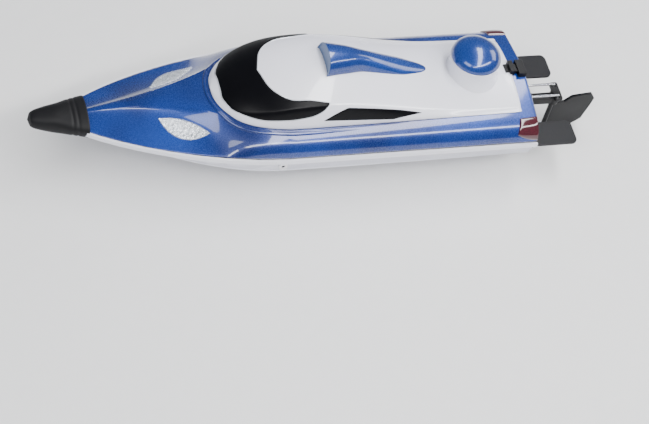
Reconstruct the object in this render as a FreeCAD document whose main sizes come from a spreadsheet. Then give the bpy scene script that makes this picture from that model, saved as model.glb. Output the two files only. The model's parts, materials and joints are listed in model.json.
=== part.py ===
"""Radio controlled racing boat: deep-V hull, deck, lift-off cabin, drive line and steering gear.

Frame: +X bow, +Y port, +Z up. The origin is under the middle of the boat, on the plane of its lowest point.
All sizes are millimetres and live in the spreadsheet "dims".
"""
import FreeCAD, Part
import math
import os
import re

import Sketcher

Vec = FreeCAD.Vector
Rot = FreeCAD.Rotation

doc = FreeCAD.newDocument("rc_boat")
sheet = doc.addObject("Spreadsheet::Sheet", "dims")

SIZES = (
    # hull and deck
    ("overall_length", 480, "bumper tip to rudder tail"),
    ("stern_reach", 74, "rudder tail to transom"),
    ("nose_reach", 25, "stem to bumper tip"),
    ("beam", 115, "over the blue deck's edge"),
    ("hull_depth", 38, "keel to gunwale amidships"),
    ("rudder_drop", 12, "keel to the lowest point of the boat"),
    ("hull_wall", 2.2, "shell thickness of hull and deck"),
    ("flange_width", 2, "lip that stands out round the gunwale"),
    ("flange_height", 4, "depth of that lip"),
    ("seal_thickness", 0.8, "rubber strip between hull and deck"),
    ("deck_crown", 22, "deck centre above the gunwale"),
    ("stern_crown", 22.5, "aft deck centre above the gunwale"),
    # cabin
    ("cabin_length", 252, "front lip to aft edge"),
    ("cabin_gap", 12, "aft edge to transom"),
    ("cabin_width", 84, "at the base"),
    ("roof_height", 47.5, "roof centre above the gunwale"),
    ("roof_drop", 23, "how far the roof falls to the stern"),
    ("cabin_wall", 1.9, "shell thickness of the cabin lid"),
    ("glass_thickness", 1.1, "window panes let into the cabin"),
    ("lid_clearance", 0.4, "between the lid and the deck"),
    ("well_depth", 8, "well floor above the gunwale"),
    ("well_width", 62, "inside of the well under the cabin"),
    ("well_length", 218, "inside of the well under the cabin"),
    # hatch
    ("hatch_length", 128, "opening in the well floor"),
    ("hatch_width", 50, "opening in the well floor"),
    ("hatch_corner", 8, "corner radius of the opening"),
    ("coaming_height", 2.5, "raised rim of the opening"),
    ("coaming_wall", 1.8, "thickness of that rim"),
    ("cover_thickness", 2, "inner hatch cover plate"),
    ("cover_overlap", 3, "plate beyond the rim"),
    ("hatch_seal_height", 1, "sponge ring under the cover"),
    ("knob_radius", 7, "quarter-turn knob"),
    ("knob_height", 5, "quarter-turn knob"),
    ("knob_stem_radius", 2.5, "stem through the cover"),
    ("run_clearance", 0.06, "radial, for shafts and pivots"),
    ("free_clearance", 0.5, "between pieces that move past each other"),
    # roof pieces
    ("scoop_length", 94, "air scoop on the roof"),
    ("scoop_width", 31.2, "at its front"),
    ("scoop_height", 12.7, "at its front"),
    ("dome_radius", 20.4, "radar dome"),
    ("dome_height", 12, "blue cap alone"),
    ("dome_rise", 42.6, "rim of the blue cap above the gunwale"),
    ("pedestal_flare", 4.5, "how much wider the white foot is at the roof"),
    ("dome_from_transom", 47, "dome axis to transom"),
    # drive line
    ("shaft_angle", 6, "slope of the drive line, degrees"),
    ("shaft_exit_height", 5.5, "drive line above the keel at the transom"),
    ("shaft_radius", 1.9, "drive shaft"),
    ("tube_wall", 0.9, "stuffing tube"),
    ("tube_gap", 0.6, "grease space round the shaft"),
    ("tube_length", 115, "stuffing tube"),
    ("tube_overhang", 10, "tube beyond the transom"),
    ("bush_length", 8, "bronze bush at each tube end"),
    ("propeller_radius", 13, "tip radius"),
    ("hub_radius", 3.4, "propeller hub"),
    ("hub_length", 9, "propeller hub"),
    ("nut_radius", 2.9, "propeller nut, across corners"),
    ("nut_length", 3, "propeller nut"),
    ("coupling_radius", 5, "flexible coupling"),
    ("coupling_length", 22, "flexible coupling"),
    ("motor_radius", 13.8, "motor can"),
    ("motor_length", 38, "motor can"),
    ("cap_length", 6, "motor end cap"),
    ("jacket_wall", 2, "water jacket round the can"),
    ("jacket_length", 26, "water jacket"),
    ("mount_thickness", 3, "motor bulkhead"),
    ("nipple_radius", 2, "hose nipples"),
    ("hose_radius", 2.8, "cooling hoses"),
    # steering
    ("stock_from_transom", 37, "rudder axis to transom"),
    ("stock_radius", 2, "rudder stock"),
    ("barrel_radius", 4.6, "bearing barrel of the rudder bracket"),
    ("barrel_length", 9, "bearing barrel of the rudder bracket"),
    ("rod_below_gunwale", 5, "pushrod axis to gunwale"),
    ("rod_spacing", 12, "between the two pushrods"),
    ("rod_radius", 0.9, "pushrod wire"),
    ("arm_thickness", 3, "tiller and servo horn"),
    ("arm_width", 6.5, "tiller and servo horn"),
    ("arm_hole_radius", 1.75, "loose hole for the pushrod's bent end"),
    ("blade_chord", 37, "rudder axis to tail"),
    ("rudder_height", 29.5, "lower blade"),
    ("rudder_thickness", 2.6, "blade plate"),
    ("servo_from_transom", 49, "servo axis to transom"),
    ("servo_length", 26, "case along the boat"),
    ("servo_width", 22, "case across the boat"),
    ("servo_height", 11, "case"),
    ("bellows_length", 12, "rubber gaiter on each pushrod"),
    ("bellows_radius", 3.4, "rubber gaiter"),
    # trim tabs
    ("tab_length", 38, "plate along the boat"),
    ("tab_width", 24, "plate across the boat"),
    ("tab_thickness", 1.6, "plate"),
    ("tab_offset", 36, "plate's middle from the centreline"),
    ("tab_pin_radius", 1, "hinge pin"),
    # electrics
    ("battery_length", 68, "two-cell pack"),
    ("battery_width", 37, "two-cell pack"),
    ("battery_height", 19, "two-cell pack"),
    ("battery_gap", 6, "motor end cap to battery"),
    ("tray_thickness", 2, "trays and shelves"),
    ("board_length", 42, "receiver and speed controller boxes"),
    ("board_width", 21, "receiver and speed controller boxes"),
    ("board_height", 8, "receiver and speed controller boxes"),
    ("screw_head_radius", 2.1, "small screws"),
    ("screw_head_height", 1.1, "small screws"),
)

for row, (alias, value, note) in enumerate(SIZES, start=1):
    sheet.set(f"A{row}", note)
    sheet.set(f"B{row}", str(value))
    sheet.setAlias(f"B{row}", alias)
doc.recompute()

ALIASES = {alias for alias, _, _ in SIZES}
D = {alias: float(sheet.get(alias)) for alias in ALIASES}

# Places that many pieces share, as spreadsheet expressions and as numbers.
TRANSOM = "(stern_reach - overall_length / 2)"
GUNWALE = "(rudder_drop + hull_depth)"
transom_x = D["stern_reach"] - D["overall_length"] / 2
stem_x = D["overall_length"] / 2 - D["nose_reach"]
hull_length = stem_x - transom_x
keel_z = D["rudder_drop"]
gunwale_z = keel_z + D["hull_depth"]
deck_base_z = gunwale_z + D["seal_thickness"]
cabin_aft_x = transom_x + D["cabin_gap"]
cabin_front_x = cabin_aft_x + D["cabin_length"]

nodes = []


def expression(text):
    """Turn the sheet's bare words in text into references to their cells."""
    def cell(match):
        word = match.group(0)
        return f"dims.{word}" if word in ALIASES else word
    return re.sub(r"[a-z_]+", cell, str(text))


def bind(obj, prop, text):
    obj.setExpression(prop, expression(text))


def place(obj, x=0, y=0, z=0, axis=None, angle=0):
    """Put obj at a place given by expressions, turned about axis by an angle that may be one too."""
    if axis is not None:
        obj.Placement = FreeCAD.Placement(Vec(), Rot(Vec(*axis), 1))
        bind(obj, "Placement.Rotation.Angle", angle)
    for prop, text in (("x", x), ("y", y), ("z", z)):
        bind(obj, f"Placement.Base.{prop}", text)
    return obj


def node(obj, label):
    """Name obj as a sub-part that is written to its own file."""
    obj.Label = label
    nodes.append(obj)
    return obj


def box(length, width, height, x, y, z):
    """Block centred on x and y, standing on z."""
    obj = doc.addObject("Part::Box", "block")
    for prop, text in (("Length", length), ("Width", width), ("Height", height)):
        bind(obj, prop, text)
    return place(obj, f"{x} - ({length}) / 2", f"{y} - ({width}) / 2", z)


def cylinder(radius, height, x, y, z, axis=None, angle=0):
    obj = doc.addObject("Part::Cylinder", "round")
    bind(obj, "Radius", radius)
    bind(obj, "Height", height)
    return place(obj, x, y, z, axis, angle)


def fuse(*parts):
    obj = doc.addObject("Part::MultiFuse", "joined")
    obj.Shapes = list(parts)
    return obj


def cut(base, *tools):
    obj = doc.addObject("Part::Cut", "carved")
    obj.Base = base
    obj.Tool = tools[0] if len(tools) == 1 else fuse(*tools)
    return obj


def common(*parts):
    obj = doc.addObject("Part::MultiCommon", "shared")
    obj.Shapes = list(parts)
    return obj


def computed(shape, name="form"):
    """Hold a shape that was worked out from the sheet's numbers."""
    obj = doc.addObject("Part::Feature", name)
    obj.Shape = shape
    return obj


def on_shaft(obj, start):
    """Lay obj's own Z along the drive line, start millimetres ahead of the transom."""
    return place(
        obj,
        f"{TRANSOM} + ({start}) * cos(shaft_angle)",
        0,
        f"rudder_drop + shaft_exit_height + ({start}) * sin(shaft_angle)",
        (0, 1, 0),
        "90 - shaft_angle",
    )


def shaft_rod(radius, length, start):
    return on_shaft(cylinder(radius, length, 0, 0, 0), start)


# ---- sketched bodies -------------------------------------------------------------------------------

def origin_plane(body, role):
    for feature in body.Origin.OriginFeatures:
        if feature.Role == role:
            return feature
    raise ValueError(role)


def new_sketch(body, role="XY_Plane"):
    sketch = body.newObject("Sketcher::SketchObject", "outline")
    sketch.AttachmentSupport = [(origin_plane(body, role), "")]
    sketch.MapMode = "FlatFace"
    return sketch


def fix(sketch, kind, args, text):
    """Add a dimension and tie it to the sheet."""
    index = sketch.addConstraint(Sketcher.Constraint(kind, *args))
    bind(sketch, f"Constraints[{index}]", text)


def draw_circle(sketch, radius, x=0, y=0):
    """Circle at x, y; a signed centre distance of nought is a coincidence with the origin."""
    index = sketch.addGeometry(Part.Circle(Vec(0.1, 0.1, 0), Vec(0, 0, 1), 1))
    fix(sketch, "Radius", (index, 1.0), radius)
    fix(sketch, "DistanceX", (-1, 1, index, 3, 0.1), x)
    fix(sketch, "DistanceY", (-1, 1, index, 3, 0.1), y)


def draw_outline(sketch, points):
    """Closed run of straight lines through points given as pairs of expressions."""
    count = len(points)
    for i in range(count):
        turn = 2 * math.pi * i / count
        following = 2 * math.pi * (i + 1) / count
        start = Vec(10 * math.cos(turn), 10 * math.sin(turn), 0)
        end = Vec(10 * math.cos(following), 10 * math.sin(following), 0)
        sketch.addGeometry(Part.LineSegment(start, end))
    for i in range(count):
        sketch.addConstraint(Sketcher.Constraint("Coincident", i, 2, (i + 1) % count, 1))
    for i, (x, y) in enumerate(points):
        fix(sketch, "DistanceX", (-1, 1, i, 1, 1.0), x)
        fix(sketch, "DistanceY", (-1, 1, i, 1, 1.0), y)


def rectangle_points(length, width):
    half_l, half_w = f"({length}) / 2", f"({width}) / 2"
    return [(f"-{half_l}", f"-{half_w}"), (half_l, f"-{half_w}"), (half_l, half_w), (f"-{half_l}", half_w)]


def pad(body, sketch, length):
    feature = body.newObject("PartDesign::Pad", "pad")
    feature.Profile = sketch
    bind(feature, "Length", length)
    sketch.Visibility = False
    return feature


def pocket_through(body, sketch, length):
    """Pocket that starts at the sketch and runs the same way as the pads do."""
    feature = body.newObject("PartDesign::Pocket", "pocket")
    feature.Profile = sketch
    feature.Reversed = True
    bind(feature, "Length", length)
    return feature


def fillet_upright(body, feature, radius):
    """Round the edges that run along the pad."""
    doc.recompute()
    names = []
    for number, edge in enumerate(feature.Shape.Edges, start=1):
        if len(edge.Vertexes) == 2:
            line = edge.Vertexes[1].Point - edge.Vertexes[0].Point
            if abs(line.x) < 1e-6 and abs(line.y) < 1e-6:
                names.append(f"Edge{number}")
    rounded = body.newObject("PartDesign::Fillet", "rounding")
    rounded.Base = (feature, names)
    bind(rounded, "Radius", radius)
    return rounded


def new_body(label):
    body = doc.addObject("PartDesign::Body", "body")
    return node(body, label)


def slab(length, width, height, corner):
    """Body with an upright, round-cornered block, centred on its own origin."""
    body = doc.addObject("PartDesign::Body", "body")
    sketch = new_sketch(body)
    draw_outline(sketch, rectangle_points(length, width))
    fillet_upright(body, pad(body, sketch, height), corner)
    return body


# ---- lines of the hull, deck and cabin -------------------------------------------------------------

def share_between(x, start, end):
    """Nought at start, one at end, held beyond both."""
    return min(1.0, max(0.0, (x - start) / (end - start)))


def at_length(share):
    """Station at a share of the hull's length, measured from the transom."""
    return transom_x + share * hull_length


def half_breadth(x):
    """Deck edge: parallel sides, then a curve that closes on the stem with a small nose."""
    nose = 3.0
    closing = share_between(x, at_length(0.55), stem_x)
    full = D["beam"] / 2
    return nose + (full - nose) * (1 - closing ** 1.7) ** 0.8


def keel_height(x):
    rise = share_between(x, at_length(0.5), stem_x) ** 2.4
    return keel_z + 0.94 * D["hull_depth"] * rise


def chine(x):
    """Corner between bottom and side: its half breadth and height."""
    closing = share_between(x, at_length(0.55), stem_x) ** 2
    low = keel_height(x)
    return half_breadth(x) * (0.87 - 0.3 * closing), low + (gunwale_z - low) * (0.42 + 0.2 * closing)


def hull_ring(x, grow=0.0, top=0.0):
    """Half section of the hull from gunwale down to keel, grown outwards or (negative) inwards."""
    chine_y, chine_z = chine(x)
    return [
        (max(0.6, half_breadth(x) + grow), gunwale_z + top),
        (max(0.5, chine_y + grow), chine_z - 0.7 * grow),
        (0.0, keel_height(x) - 1.08 * grow),
    ]


def deck_crown(x):
    """Height of the deck's centreline above the gunwale."""
    fore = D["deck_crown"] * (1 - share_between(x, at_length(0.6), stem_x) ** 1.9)
    aft = (D["stern_crown"] - D["deck_crown"]) * (1 - share_between(x, transom_x, at_length(0.3)))
    return max(2.0, fore + aft)


def deck_shoulder(x):
    """Where the deck's top meets its side: half breadth and height above the gunwale."""
    narrowing = math.exp(-(share_between(x, at_length(0.545), at_length(1.1)) * 2.95) ** 1.6)
    breadth = max(1.4, (D["cabin_width"] / 2 + 0.8) * narrowing)
    low_share = 0.7
    fore = (0.93 - low_share) * share_between(x, at_length(0.545), at_length(0.69))
    return min(breadth, 0.86 * half_breadth(x)), deck_crown(x) * (low_share + fore)


def deck_ring(x, grow=0.0):
    """Half section of the deck from its edge up to the centreline."""
    edge = half_breadth(x)
    shoulder_y, shoulder_z = deck_shoulder(x)
    bow = share_between(x, at_length(0.6), at_length(0.75))
    bulge_y = shoulder_y + (0.72 - 0.15 * bow) * (edge - shoulder_y)
    bulge_z = (0.62 - 0.22 * bow) * shoulder_z
    return [
        (max(0.8, edge + grow), deck_base_z),
        (max(0.7, bulge_y + grow), deck_base_z + max(0.2, bulge_z + 0.7 * grow)),
        (max(0.5, shoulder_y + 0.5 * grow), deck_base_z + max(0.4, shoulder_z + grow)),
        (0.0, deck_base_z + max(0.6, deck_crown(x) + grow)),
    ]


def cabin_half(x):
    """Cabin base: near parallel sides and a round front."""
    closing = share_between(x, cabin_aft_x + 0.7 * D["cabin_length"], cabin_front_x)
    taper = 2.5 * (1 - share_between(x, cabin_aft_x, cabin_aft_x + 0.7 * D["cabin_length"]))
    return max(2.0, (D["cabin_width"] / 2 - taper) * (1 - closing ** 3.2) ** 0.5)


def roof_line(x):
    """Height of the roof's centreline above the gunwale: windscreen, level roof, fall to the stern."""
    lip = deck_crown(cabin_front_x) + 1.8
    crest_x = cabin_aft_x + 0.655 * D["cabin_length"]
    closing = share_between(x, crest_x, cabin_front_x)
    falling = (1 - math.cos(math.pi * (1 - share_between(x, cabin_aft_x, crest_x)) ** 0.75)) / 2
    return lip + (D["roof_height"] - lip) * (1 - closing ** 2.6) - D["roof_drop"] * falling


def cabin_ring(x, grow=0.0):
    """Half section of the cabin: upright foot inside the deck, leaning side, soft roof edge, crown."""
    half = cabin_half(x) + grow
    top = roof_line(x) + grow
    foot = D["well_depth"] - 4.0
    crown = (0.143 + 0.09 * share_between(x, cabin_aft_x, cabin_aft_x + 0.4 * D["cabin_length"])) * half
    return [
        (max(1.0, half), gunwale_z + foot),
        (max(1.0, half), gunwale_z + foot + 0.28 * (top - foot)),
        (max(0.9, 0.885 * half), gunwale_z + top - crown),
        (max(0.8, 0.7 * half), gunwale_z + top - 0.56 * crown),
        (max(0.6, 0.4 * half), gunwale_z + top - 0.133 * crown),
        (0.0, gunwale_z + top),
    ]


def loft(stations, ring):
    """Solid through a closed polygon at each station; ring gives the starboard-to-centre half."""
    wires = []
    for x in stations:
        half = ring(x)
        corners = [Vec(x, y, z) for y, z in half]
        corners += [Vec(x, -y, z) for y, z in reversed(half) if y > 0]
        wires.append(Part.makePolygon(corners + corners[:1]))
    return Part.makeLoft(wires, True, True)


def spread(start, end, count, crowding=1.0):
    """Stations from start to end, closer together towards the end when crowding is above one."""
    return [start + (end - start) * (1 - (1 - i / (count - 1)) ** crowding) for i in range(count)]


wall = D["hull_wall"]
hull_stations = spread(transom_x, stem_x, 18, 1.5)
hull_outer = loft(hull_stations, lambda x: hull_ring(x))
inner_stations = spread(transom_x + wall, at_length(0.965), 18, 1.4)
hull_inner = loft(inner_stations, lambda x: hull_ring(x, -wall, 1.0))
bay = loft(inner_stations, lambda x: hull_ring(x, -wall - 0.1, 1.0))

deck_outer = loft(hull_stations, lambda x: deck_ring(x))
deck_inner = loft(inner_stations, lambda x: deck_ring(x, -wall))
deck_grown = loft(spread(transom_x - 1, stem_x, 18, 1.5), lambda x: deck_ring(x, D["lid_clearance"]))

cabin_stations = spread(cabin_aft_x, cabin_front_x, 18, 1.6)
cabin_outer = loft(cabin_stations, lambda x: cabin_ring(x))
room_stations = spread(cabin_aft_x + D["cabin_wall"], cabin_front_x - 2.2 * D["cabin_wall"], 18, 1.6)
cabin_room = loft(room_stations, lambda x: cabin_ring(x, -D["cabin_wall"]))
pane_back = loft(
    spread(cabin_aft_x + D["cabin_wall"], cabin_front_x - 1.6, 18, 1.6),
    lambda x: cabin_ring(x, -D["glass_thickness"]),
)


def plan_face(grow, z):
    """Flat face inside the deck's edge line, grown by so much."""
    half = [Vec(x, half_breadth(x) + grow, z) for x in hull_stations]
    half[-1].x += grow
    other = [Vec(p.x, -p.y, z) for p in reversed(half)]
    return Part.Face(Part.makePolygon(half + other + half[:1]))


def rim(outer, inner, low, high):
    """Ring round the boat that follows the deck's edge."""
    solid = plan_face(outer, low).extrude(Vec(0, 0, high - low))
    hole = plan_face(inner, low - 1).extrude(Vec(0, 0, high - low + 2))
    hole_box = hole.BoundBox
    keep = Part.makeBox(hole_box.XLength - wall, 400, high - low + 2, Vec(transom_x + wall, -200, low - 1))
    return solid.cut(hole.common(keep))


# ---- lower hull ------------------------------------------------------------------------------------

flange = rim(D["flange_width"], -wall, gunwale_z - D["flange_height"], gunwale_z)
hull_shell = computed(hull_outer.fuse(flange).cut(hull_inner), "hull_form")

TUBE_INNER = "(shaft_radius + tube_gap)"
TUBE_OUTER = "(shaft_radius + tube_gap + tube_wall)"
ROD_Z = f"({GUNWALE} - rod_below_gunwale)"
NECK_STEP = "1.2"
AFT = ((0, 1, 0), -90)
tube_bore = shaft_rod(TUBE_OUTER, "tube_length", "-tube_overhang")
rod_bores = [
    cylinder(f"bellows_radius - {NECK_STEP}", "hull_wall + 4", f"{TRANSOM} + hull_wall + 2",
             f"{side} * rod_spacing / 2", ROD_Z, *AFT)
    for side in (1, -1)
]
OUTLET_X = "(overall_length / 2 - 0.403 * overall_length)"
OUTLET_Z = f"({GUNWALE} - flange_height - 4)"
PORT = ((1, 0, 0), -90)
outlet_bore = cylinder("nipple_radius", "12", OUTLET_X, "beam / 2 - 8", OUTLET_Z, *PORT)
inlet_x = at_length(0.323)
inlet_y = -14.0
inlet_bore = cylinder("nipple_radius", "16", inlet_x, inlet_y, "rudder_drop - 2")
contact_x = at_length(0.56)
contacts = [
    Part.makeCylinder(1.5, 7, Vec(contact_x, side * 9, keel_height(contact_x) + 2.0)).fuse(
        Part.makeCylinder(2.6, 1.2, Vec(contact_x, side * 9, keel_height(contact_x) + 1.4)))
    for side in (1, -1)
]
contact_solids = Part.makeCompound(contacts)
contact_bores = computed(contact_solids, "contact_bores")
node(cut(hull_shell, tube_bore, *rod_bores, outlet_bore, inlet_bore, contact_bores), "lower_hull")

seal = rim(0.0, -wall, gunwale_z, deck_base_z)
node(computed(seal), "hull_seal")

# ---- deck ------------------------------------------------------------------------------------------

WELL_X = f"({TRANSOM} + cabin_gap + 8 + well_length / 2)"
WELL_FLOOR = f"({GUNWALE} + well_depth)"
HATCH_X = f"({WELL_X} + 2)"
deck_form = computed(deck_outer.cut(deck_inner), "deck_form")
well_tub = slab("well_length + 2 * hull_wall", "well_width + 2 * hull_wall", "60", "10")
place(well_tub, WELL_X, 0, f"{WELL_FLOOR} - hull_wall")
tub = common(well_tub, computed(deck_outer, "deck_limit"))
well_space = slab("well_length", "well_width", "60", "8")
place(well_space, WELL_X, 0, WELL_FLOOR)
coaming = slab("hatch_length + 2 * coaming_wall", "hatch_width + 2 * coaming_wall",
               "coaming_height + hull_wall", "hatch_corner + coaming_wall")
place(coaming, HATCH_X, 0, f"{WELL_FLOOR} - hull_wall")
hatch_hole = slab("hatch_length", "hatch_width", "30", "hatch_corner")
place(hatch_hole, HATCH_X, 0, f"{WELL_FLOOR} - 10")


def prism(points, low, high):
    """Upright block on a plan outline."""
    corners = [Vec(x, y, low) for x, y in points]
    return Part.Face(Part.makePolygon(corners + corners[:1])).extrude(Vec(0, 0, high - low))


def lamp_outline(side, grow):
    """Almond lamp outline on the bow panel: two tips joined by a flat and a full curve."""
    tip = Vec(at_length(0.806) + grow, side * 0.27 * D["beam"] / 2, 0)
    heel = Vec(at_length(0.706) - grow, side * 0.585 * D["beam"] / 2, 0)
    middle = (tip + heel) * 0.5
    along = (heel - tip).normalize()
    across = Vec(-along.y, along.x, 0) * side
    inner = middle - across * (4.5 + grow)
    outer = middle + across * (9.5 + grow)
    edges = [Part.Arc(tip, inner, heel).toShape(), Part.Arc(heel, outer, tip).toShape()]
    face = Part.Face(Part.Wire(edges))
    face.translate(Vec(0, 0, gunwale_z - 10))
    return face.extrude(Vec(0, 0, 60))


def deck_layer(outline, upper, lower):
    """Piece of the deck's skin inside an outline, between two offsets from its surface."""
    stations = spread(transom_x + 0.01, stem_x - 6, 18, 1.5)
    top = loft(stations, lambda x: deck_ring(x, upper))
    below = loft(spread(transom_x - 1, stem_x - 5, 18, 1.5), lambda x: deck_ring(x, lower))
    return outline.common(top).cut(below)


def tail_lamp_outline(side, grow):
    """Lamp at the rear corner, over the side of the deck."""
    inner = 0.76 * D["beam"] / 2 - grow
    outer = D["beam"] / 2 + 2
    front = transom_x + 15 + grow
    points = [(transom_x - 1, side * inner), (front - 2, side * (inner + 1)), (front + 2, side * outer),
              (transom_x - 1, side * outer)]
    return prism(points, gunwale_z + 1.5 - grow, gunwale_z + 40)


lamp_cuts = []
reflectors = []
for side, hand in ((1, "left"), (-1, "right")):
    lens_block = lamp_outline(side, 0.0)
    node(computed(deck_layer(lens_block, 0.5, -0.9)), f"headlight_lens_{hand}")
    reflectors.append(deck_layer(lens_block, -1.5, -4.0))
    node(computed(deck_layer(tail_lamp_outline(side, 0.0), 0.4, -1.0)), f"tail_lamp_{hand}")
    lamp_cuts.append(computed(lens_block, "lamp_cut"))
    lamp_cuts.append(computed(deck_layer(tail_lamp_outline(side, 0.0), 1.0, -1.0), "tail_cut"))

node(computed(Part.makeCompound(reflectors)), "headlight_reflectors")
deck_tub = fuse(cut(deck_form, well_space), cut(tub, well_space), coaming)
node(cut(deck_tub, hatch_hole, *lamp_cuts), "deck_shell")

# ---- bumper ----------------------------------------------------------------------------------------

def bumper_wire(x, half_y, low, high):
    """Elliptical section across the bow."""
    centre = Vec(x, 0, (low + high) / 2)
    rise = (high - low) / 2
    if half_y >= rise:
        curve = Part.Ellipse(centre + Vec(0, half_y, 0), centre + Vec(0, 0, rise), centre)
    else:
        curve = Part.Ellipse(centre + Vec(0, 0, rise), centre + Vec(0, half_y, 0), centre)
    return Part.Wire(curve.toShape())


nose_z = gunwale_z - 1.0
bumper_rear = stem_x - 21
bumper_sections = [
    (bumper_rear, half_breadth(bumper_rear) + 1.4, keel_height(bumper_rear) - 1.2, gunwale_z + 7.5),
    (stem_x - 10, half_breadth(stem_x - 10) + 3.2, keel_height(stem_x - 10) - 2.5, gunwale_z + 8.0),
    (stem_x + 2, 12.0, nose_z - 10.5, nose_z + 9.0),
    (stem_x + 0.6 * D["nose_reach"], 8.8, nose_z - 7.8, nose_z + 7.2),
    (stem_x + 0.9 * D["nose_reach"], 5.6, nose_z - 5.4, nose_z + 5.2),
    (stem_x + D["nose_reach"], 2.0, nose_z - 2.0, nose_z + 2.0),
]
bumper_form = Part.makeLoft([bumper_wire(*row) for row in bumper_sections], True, False)
rim_face = plan_face(D["flange_width"], gunwale_z - D["flange_height"])
rim_block = rim_face.extrude(Vec(0, 0, D["flange_height"]))
seal_block = plan_face(0.0, gunwale_z).extrude(Vec(0, 0, D["seal_thickness"]))
bow_core = hull_outer.fuse([deck_outer, rim_block, seal_block])
node(computed(bumper_form.cut(bow_core)), "bow_bumper")

# ---- cabin lid and what is fixed to it -------------------------------------------------------------

def side_prism(points):
    """Block through the whole cabin on an outline seen from the side, heights above the gunwale."""
    corners = [Vec(x, -100, gunwale_z + z) for x, z in points]
    return Part.Face(Part.makePolygon(corners + corners[:1])).extrude(Vec(0, 200, 0))


def along_cabin(distance):
    """Station so far behind the cabin's front lip."""
    return cabin_front_x - distance * D["cabin_length"] / 252


rise = D["roof_height"] / 47.5
screen_points = [(along_cabin(d), z * rise) for d, z in (
    (6, 60), (6, 25.2), (14.5, 24.3), (37.5, 25), (54.5, 26.2), (70.5, 28.6), (80.5, 33.5), (86, 38.6),
    (68.5, 39.8), (57, 39.3), (44.5, 40.2), (39.5, 40.9), (35, 42), (35, 60))]
window_points = [(along_cabin(d), z * rise) for d, z in ((81.5, 23.5), (101, 34.5), (166, 22.3), (141, 19.4))]
glass_form = cabin_outer.cut(pane_back)
room_top = deck_grown
screen = glass_form.common(side_prism(screen_points)).cut(room_top)
windows = glass_form.common(side_prism(window_points))
node(computed(screen), "windshield")
node(computed(windows), "side_windows")

latch_notch = Part.makeBox(12, 16, 80, Vec(cabin_aft_x - 2, -8, gunwale_z))
lid_form = cabin_outer.cut([cabin_room, room_top, screen, windows, latch_notch])
node(computed(lid_form), "cabin_lid")

DOME_X = f"({TRANSOM} + dome_from_transom)"
DOME_Z = f"({GUNWALE} + dome_rise)"
pedestal = doc.addObject("Part::Cone", "foot")
bind(pedestal, "Radius1", "dome_radius + pedestal_flare")
bind(pedestal, "Radius2", "dome_radius - 0.5")
bind(pedestal, "Height", "dome_rise - roof_height + roof_drop + 6")
place(pedestal, DOME_X, 0, f"{GUNWALE} + roof_height - roof_drop - 6")
node(cut(pedestal, computed(cabin_outer, "roof_form")), "radar_pedestal")
dome = doc.addObject("Part::Ellipsoid", "dome")
bind(dome, "Radius1", "dome_height")
bind(dome, "Radius2", "dome_radius")
bind(dome, "Radius3", "dome_radius")
dome.Angle1 = 0
node(place(dome, DOME_X, 0, DOME_Z), "radar_dome")


def scoop_wire(x, half, height, lean=0.0):
    """Low arch standing in the roof: a flat foot and half an ellipse, leaning back by lean."""
    count = 12
    sunk = 3.0
    base = gunwale_z + roof_line(x) - 0.0045 * half * half
    foot_x = x + lean * sunk / height
    points = [Vec(foot_x, half, base - sunk)]
    for i in range(count + 1):
        turn = math.pi * i / count
        points.append(Vec(x - lean * math.sin(turn), half * math.cos(turn), base + height * math.sin(turn)))
    points.append(Vec(foot_x, -half, base - sunk))
    return Part.makePolygon(points + points[:1])


scoop_front = along_cabin(87)
scoop_shares = ((0.0, 1.0, 1.0), (0.19, 0.78, 1.04), (0.38, 0.58, 0.9), (0.56, 0.62, 0.58), (0.7, 0.6, 0.36),
                (0.85, 0.43, 0.18), (0.98, 0.18, 0.08))
scoop_wires = []
for number, (share, breadth, height) in enumerate(scoop_shares):
    lean = 2.5 if number == 0 else 0.0
    scoop_wires.append(scoop_wire(scoop_front - share * D["scoop_length"], breadth * D["scoop_width"] / 2,
                                  height * D["scoop_height"], lean))
node(computed(Part.makeLoft(scoop_wires, True, True).cut(cabin_outer)), "roof_scoop")

# ---- inner hatch -----------------------------------------------------------------------------------

seal_z = f"({WELL_FLOOR} + coaming_height)"
seal_ring = slab("hatch_length + 2 * coaming_wall", "hatch_width + 2 * coaming_wall", "hatch_seal_height",
                 "hatch_corner + coaming_wall")
place(seal_ring, HATCH_X, 0, f"{seal_z} + free_clearance")
ring_hole = slab("hatch_length - 1", "hatch_width - 1", "20", "hatch_corner - 0.5")
place(ring_hole, HATCH_X, 0, f"{seal_z} - 5")
node(cut(seal_ring, ring_hole), "hatch_seal")
COVER_Z = f"({seal_z} + free_clearance + hatch_seal_height)"
cover_plate = slab("hatch_length + 2 * coaming_wall + 2 * cover_overlap - 4",
                   "hatch_width + 2 * coaming_wall + 2 * cover_overlap - 4", "cover_thickness",
                   "hatch_corner + coaming_wall + cover_overlap - 2")
place(cover_plate, HATCH_X, 0, COVER_Z)
KNOB_REACH = "(hatch_length / 2 - 12)"
ribs = [
    box("hatch_length - 50", "2", "1.4", HATCH_X, y, f"{COVER_Z} + cover_thickness")
    for y in ("-12", "0", "12")
]
stem_bores = []
for ahead in ("+", "-"):
    stem_bores.append(cylinder("knob_stem_radius + run_clearance", "20", f"{HATCH_X} {ahead} {KNOB_REACH}", 0,
                               f"{COVER_Z} - 5"))
node(cut(fuse(cover_plate, *ribs), *stem_bores), "hatch_cover")
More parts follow.
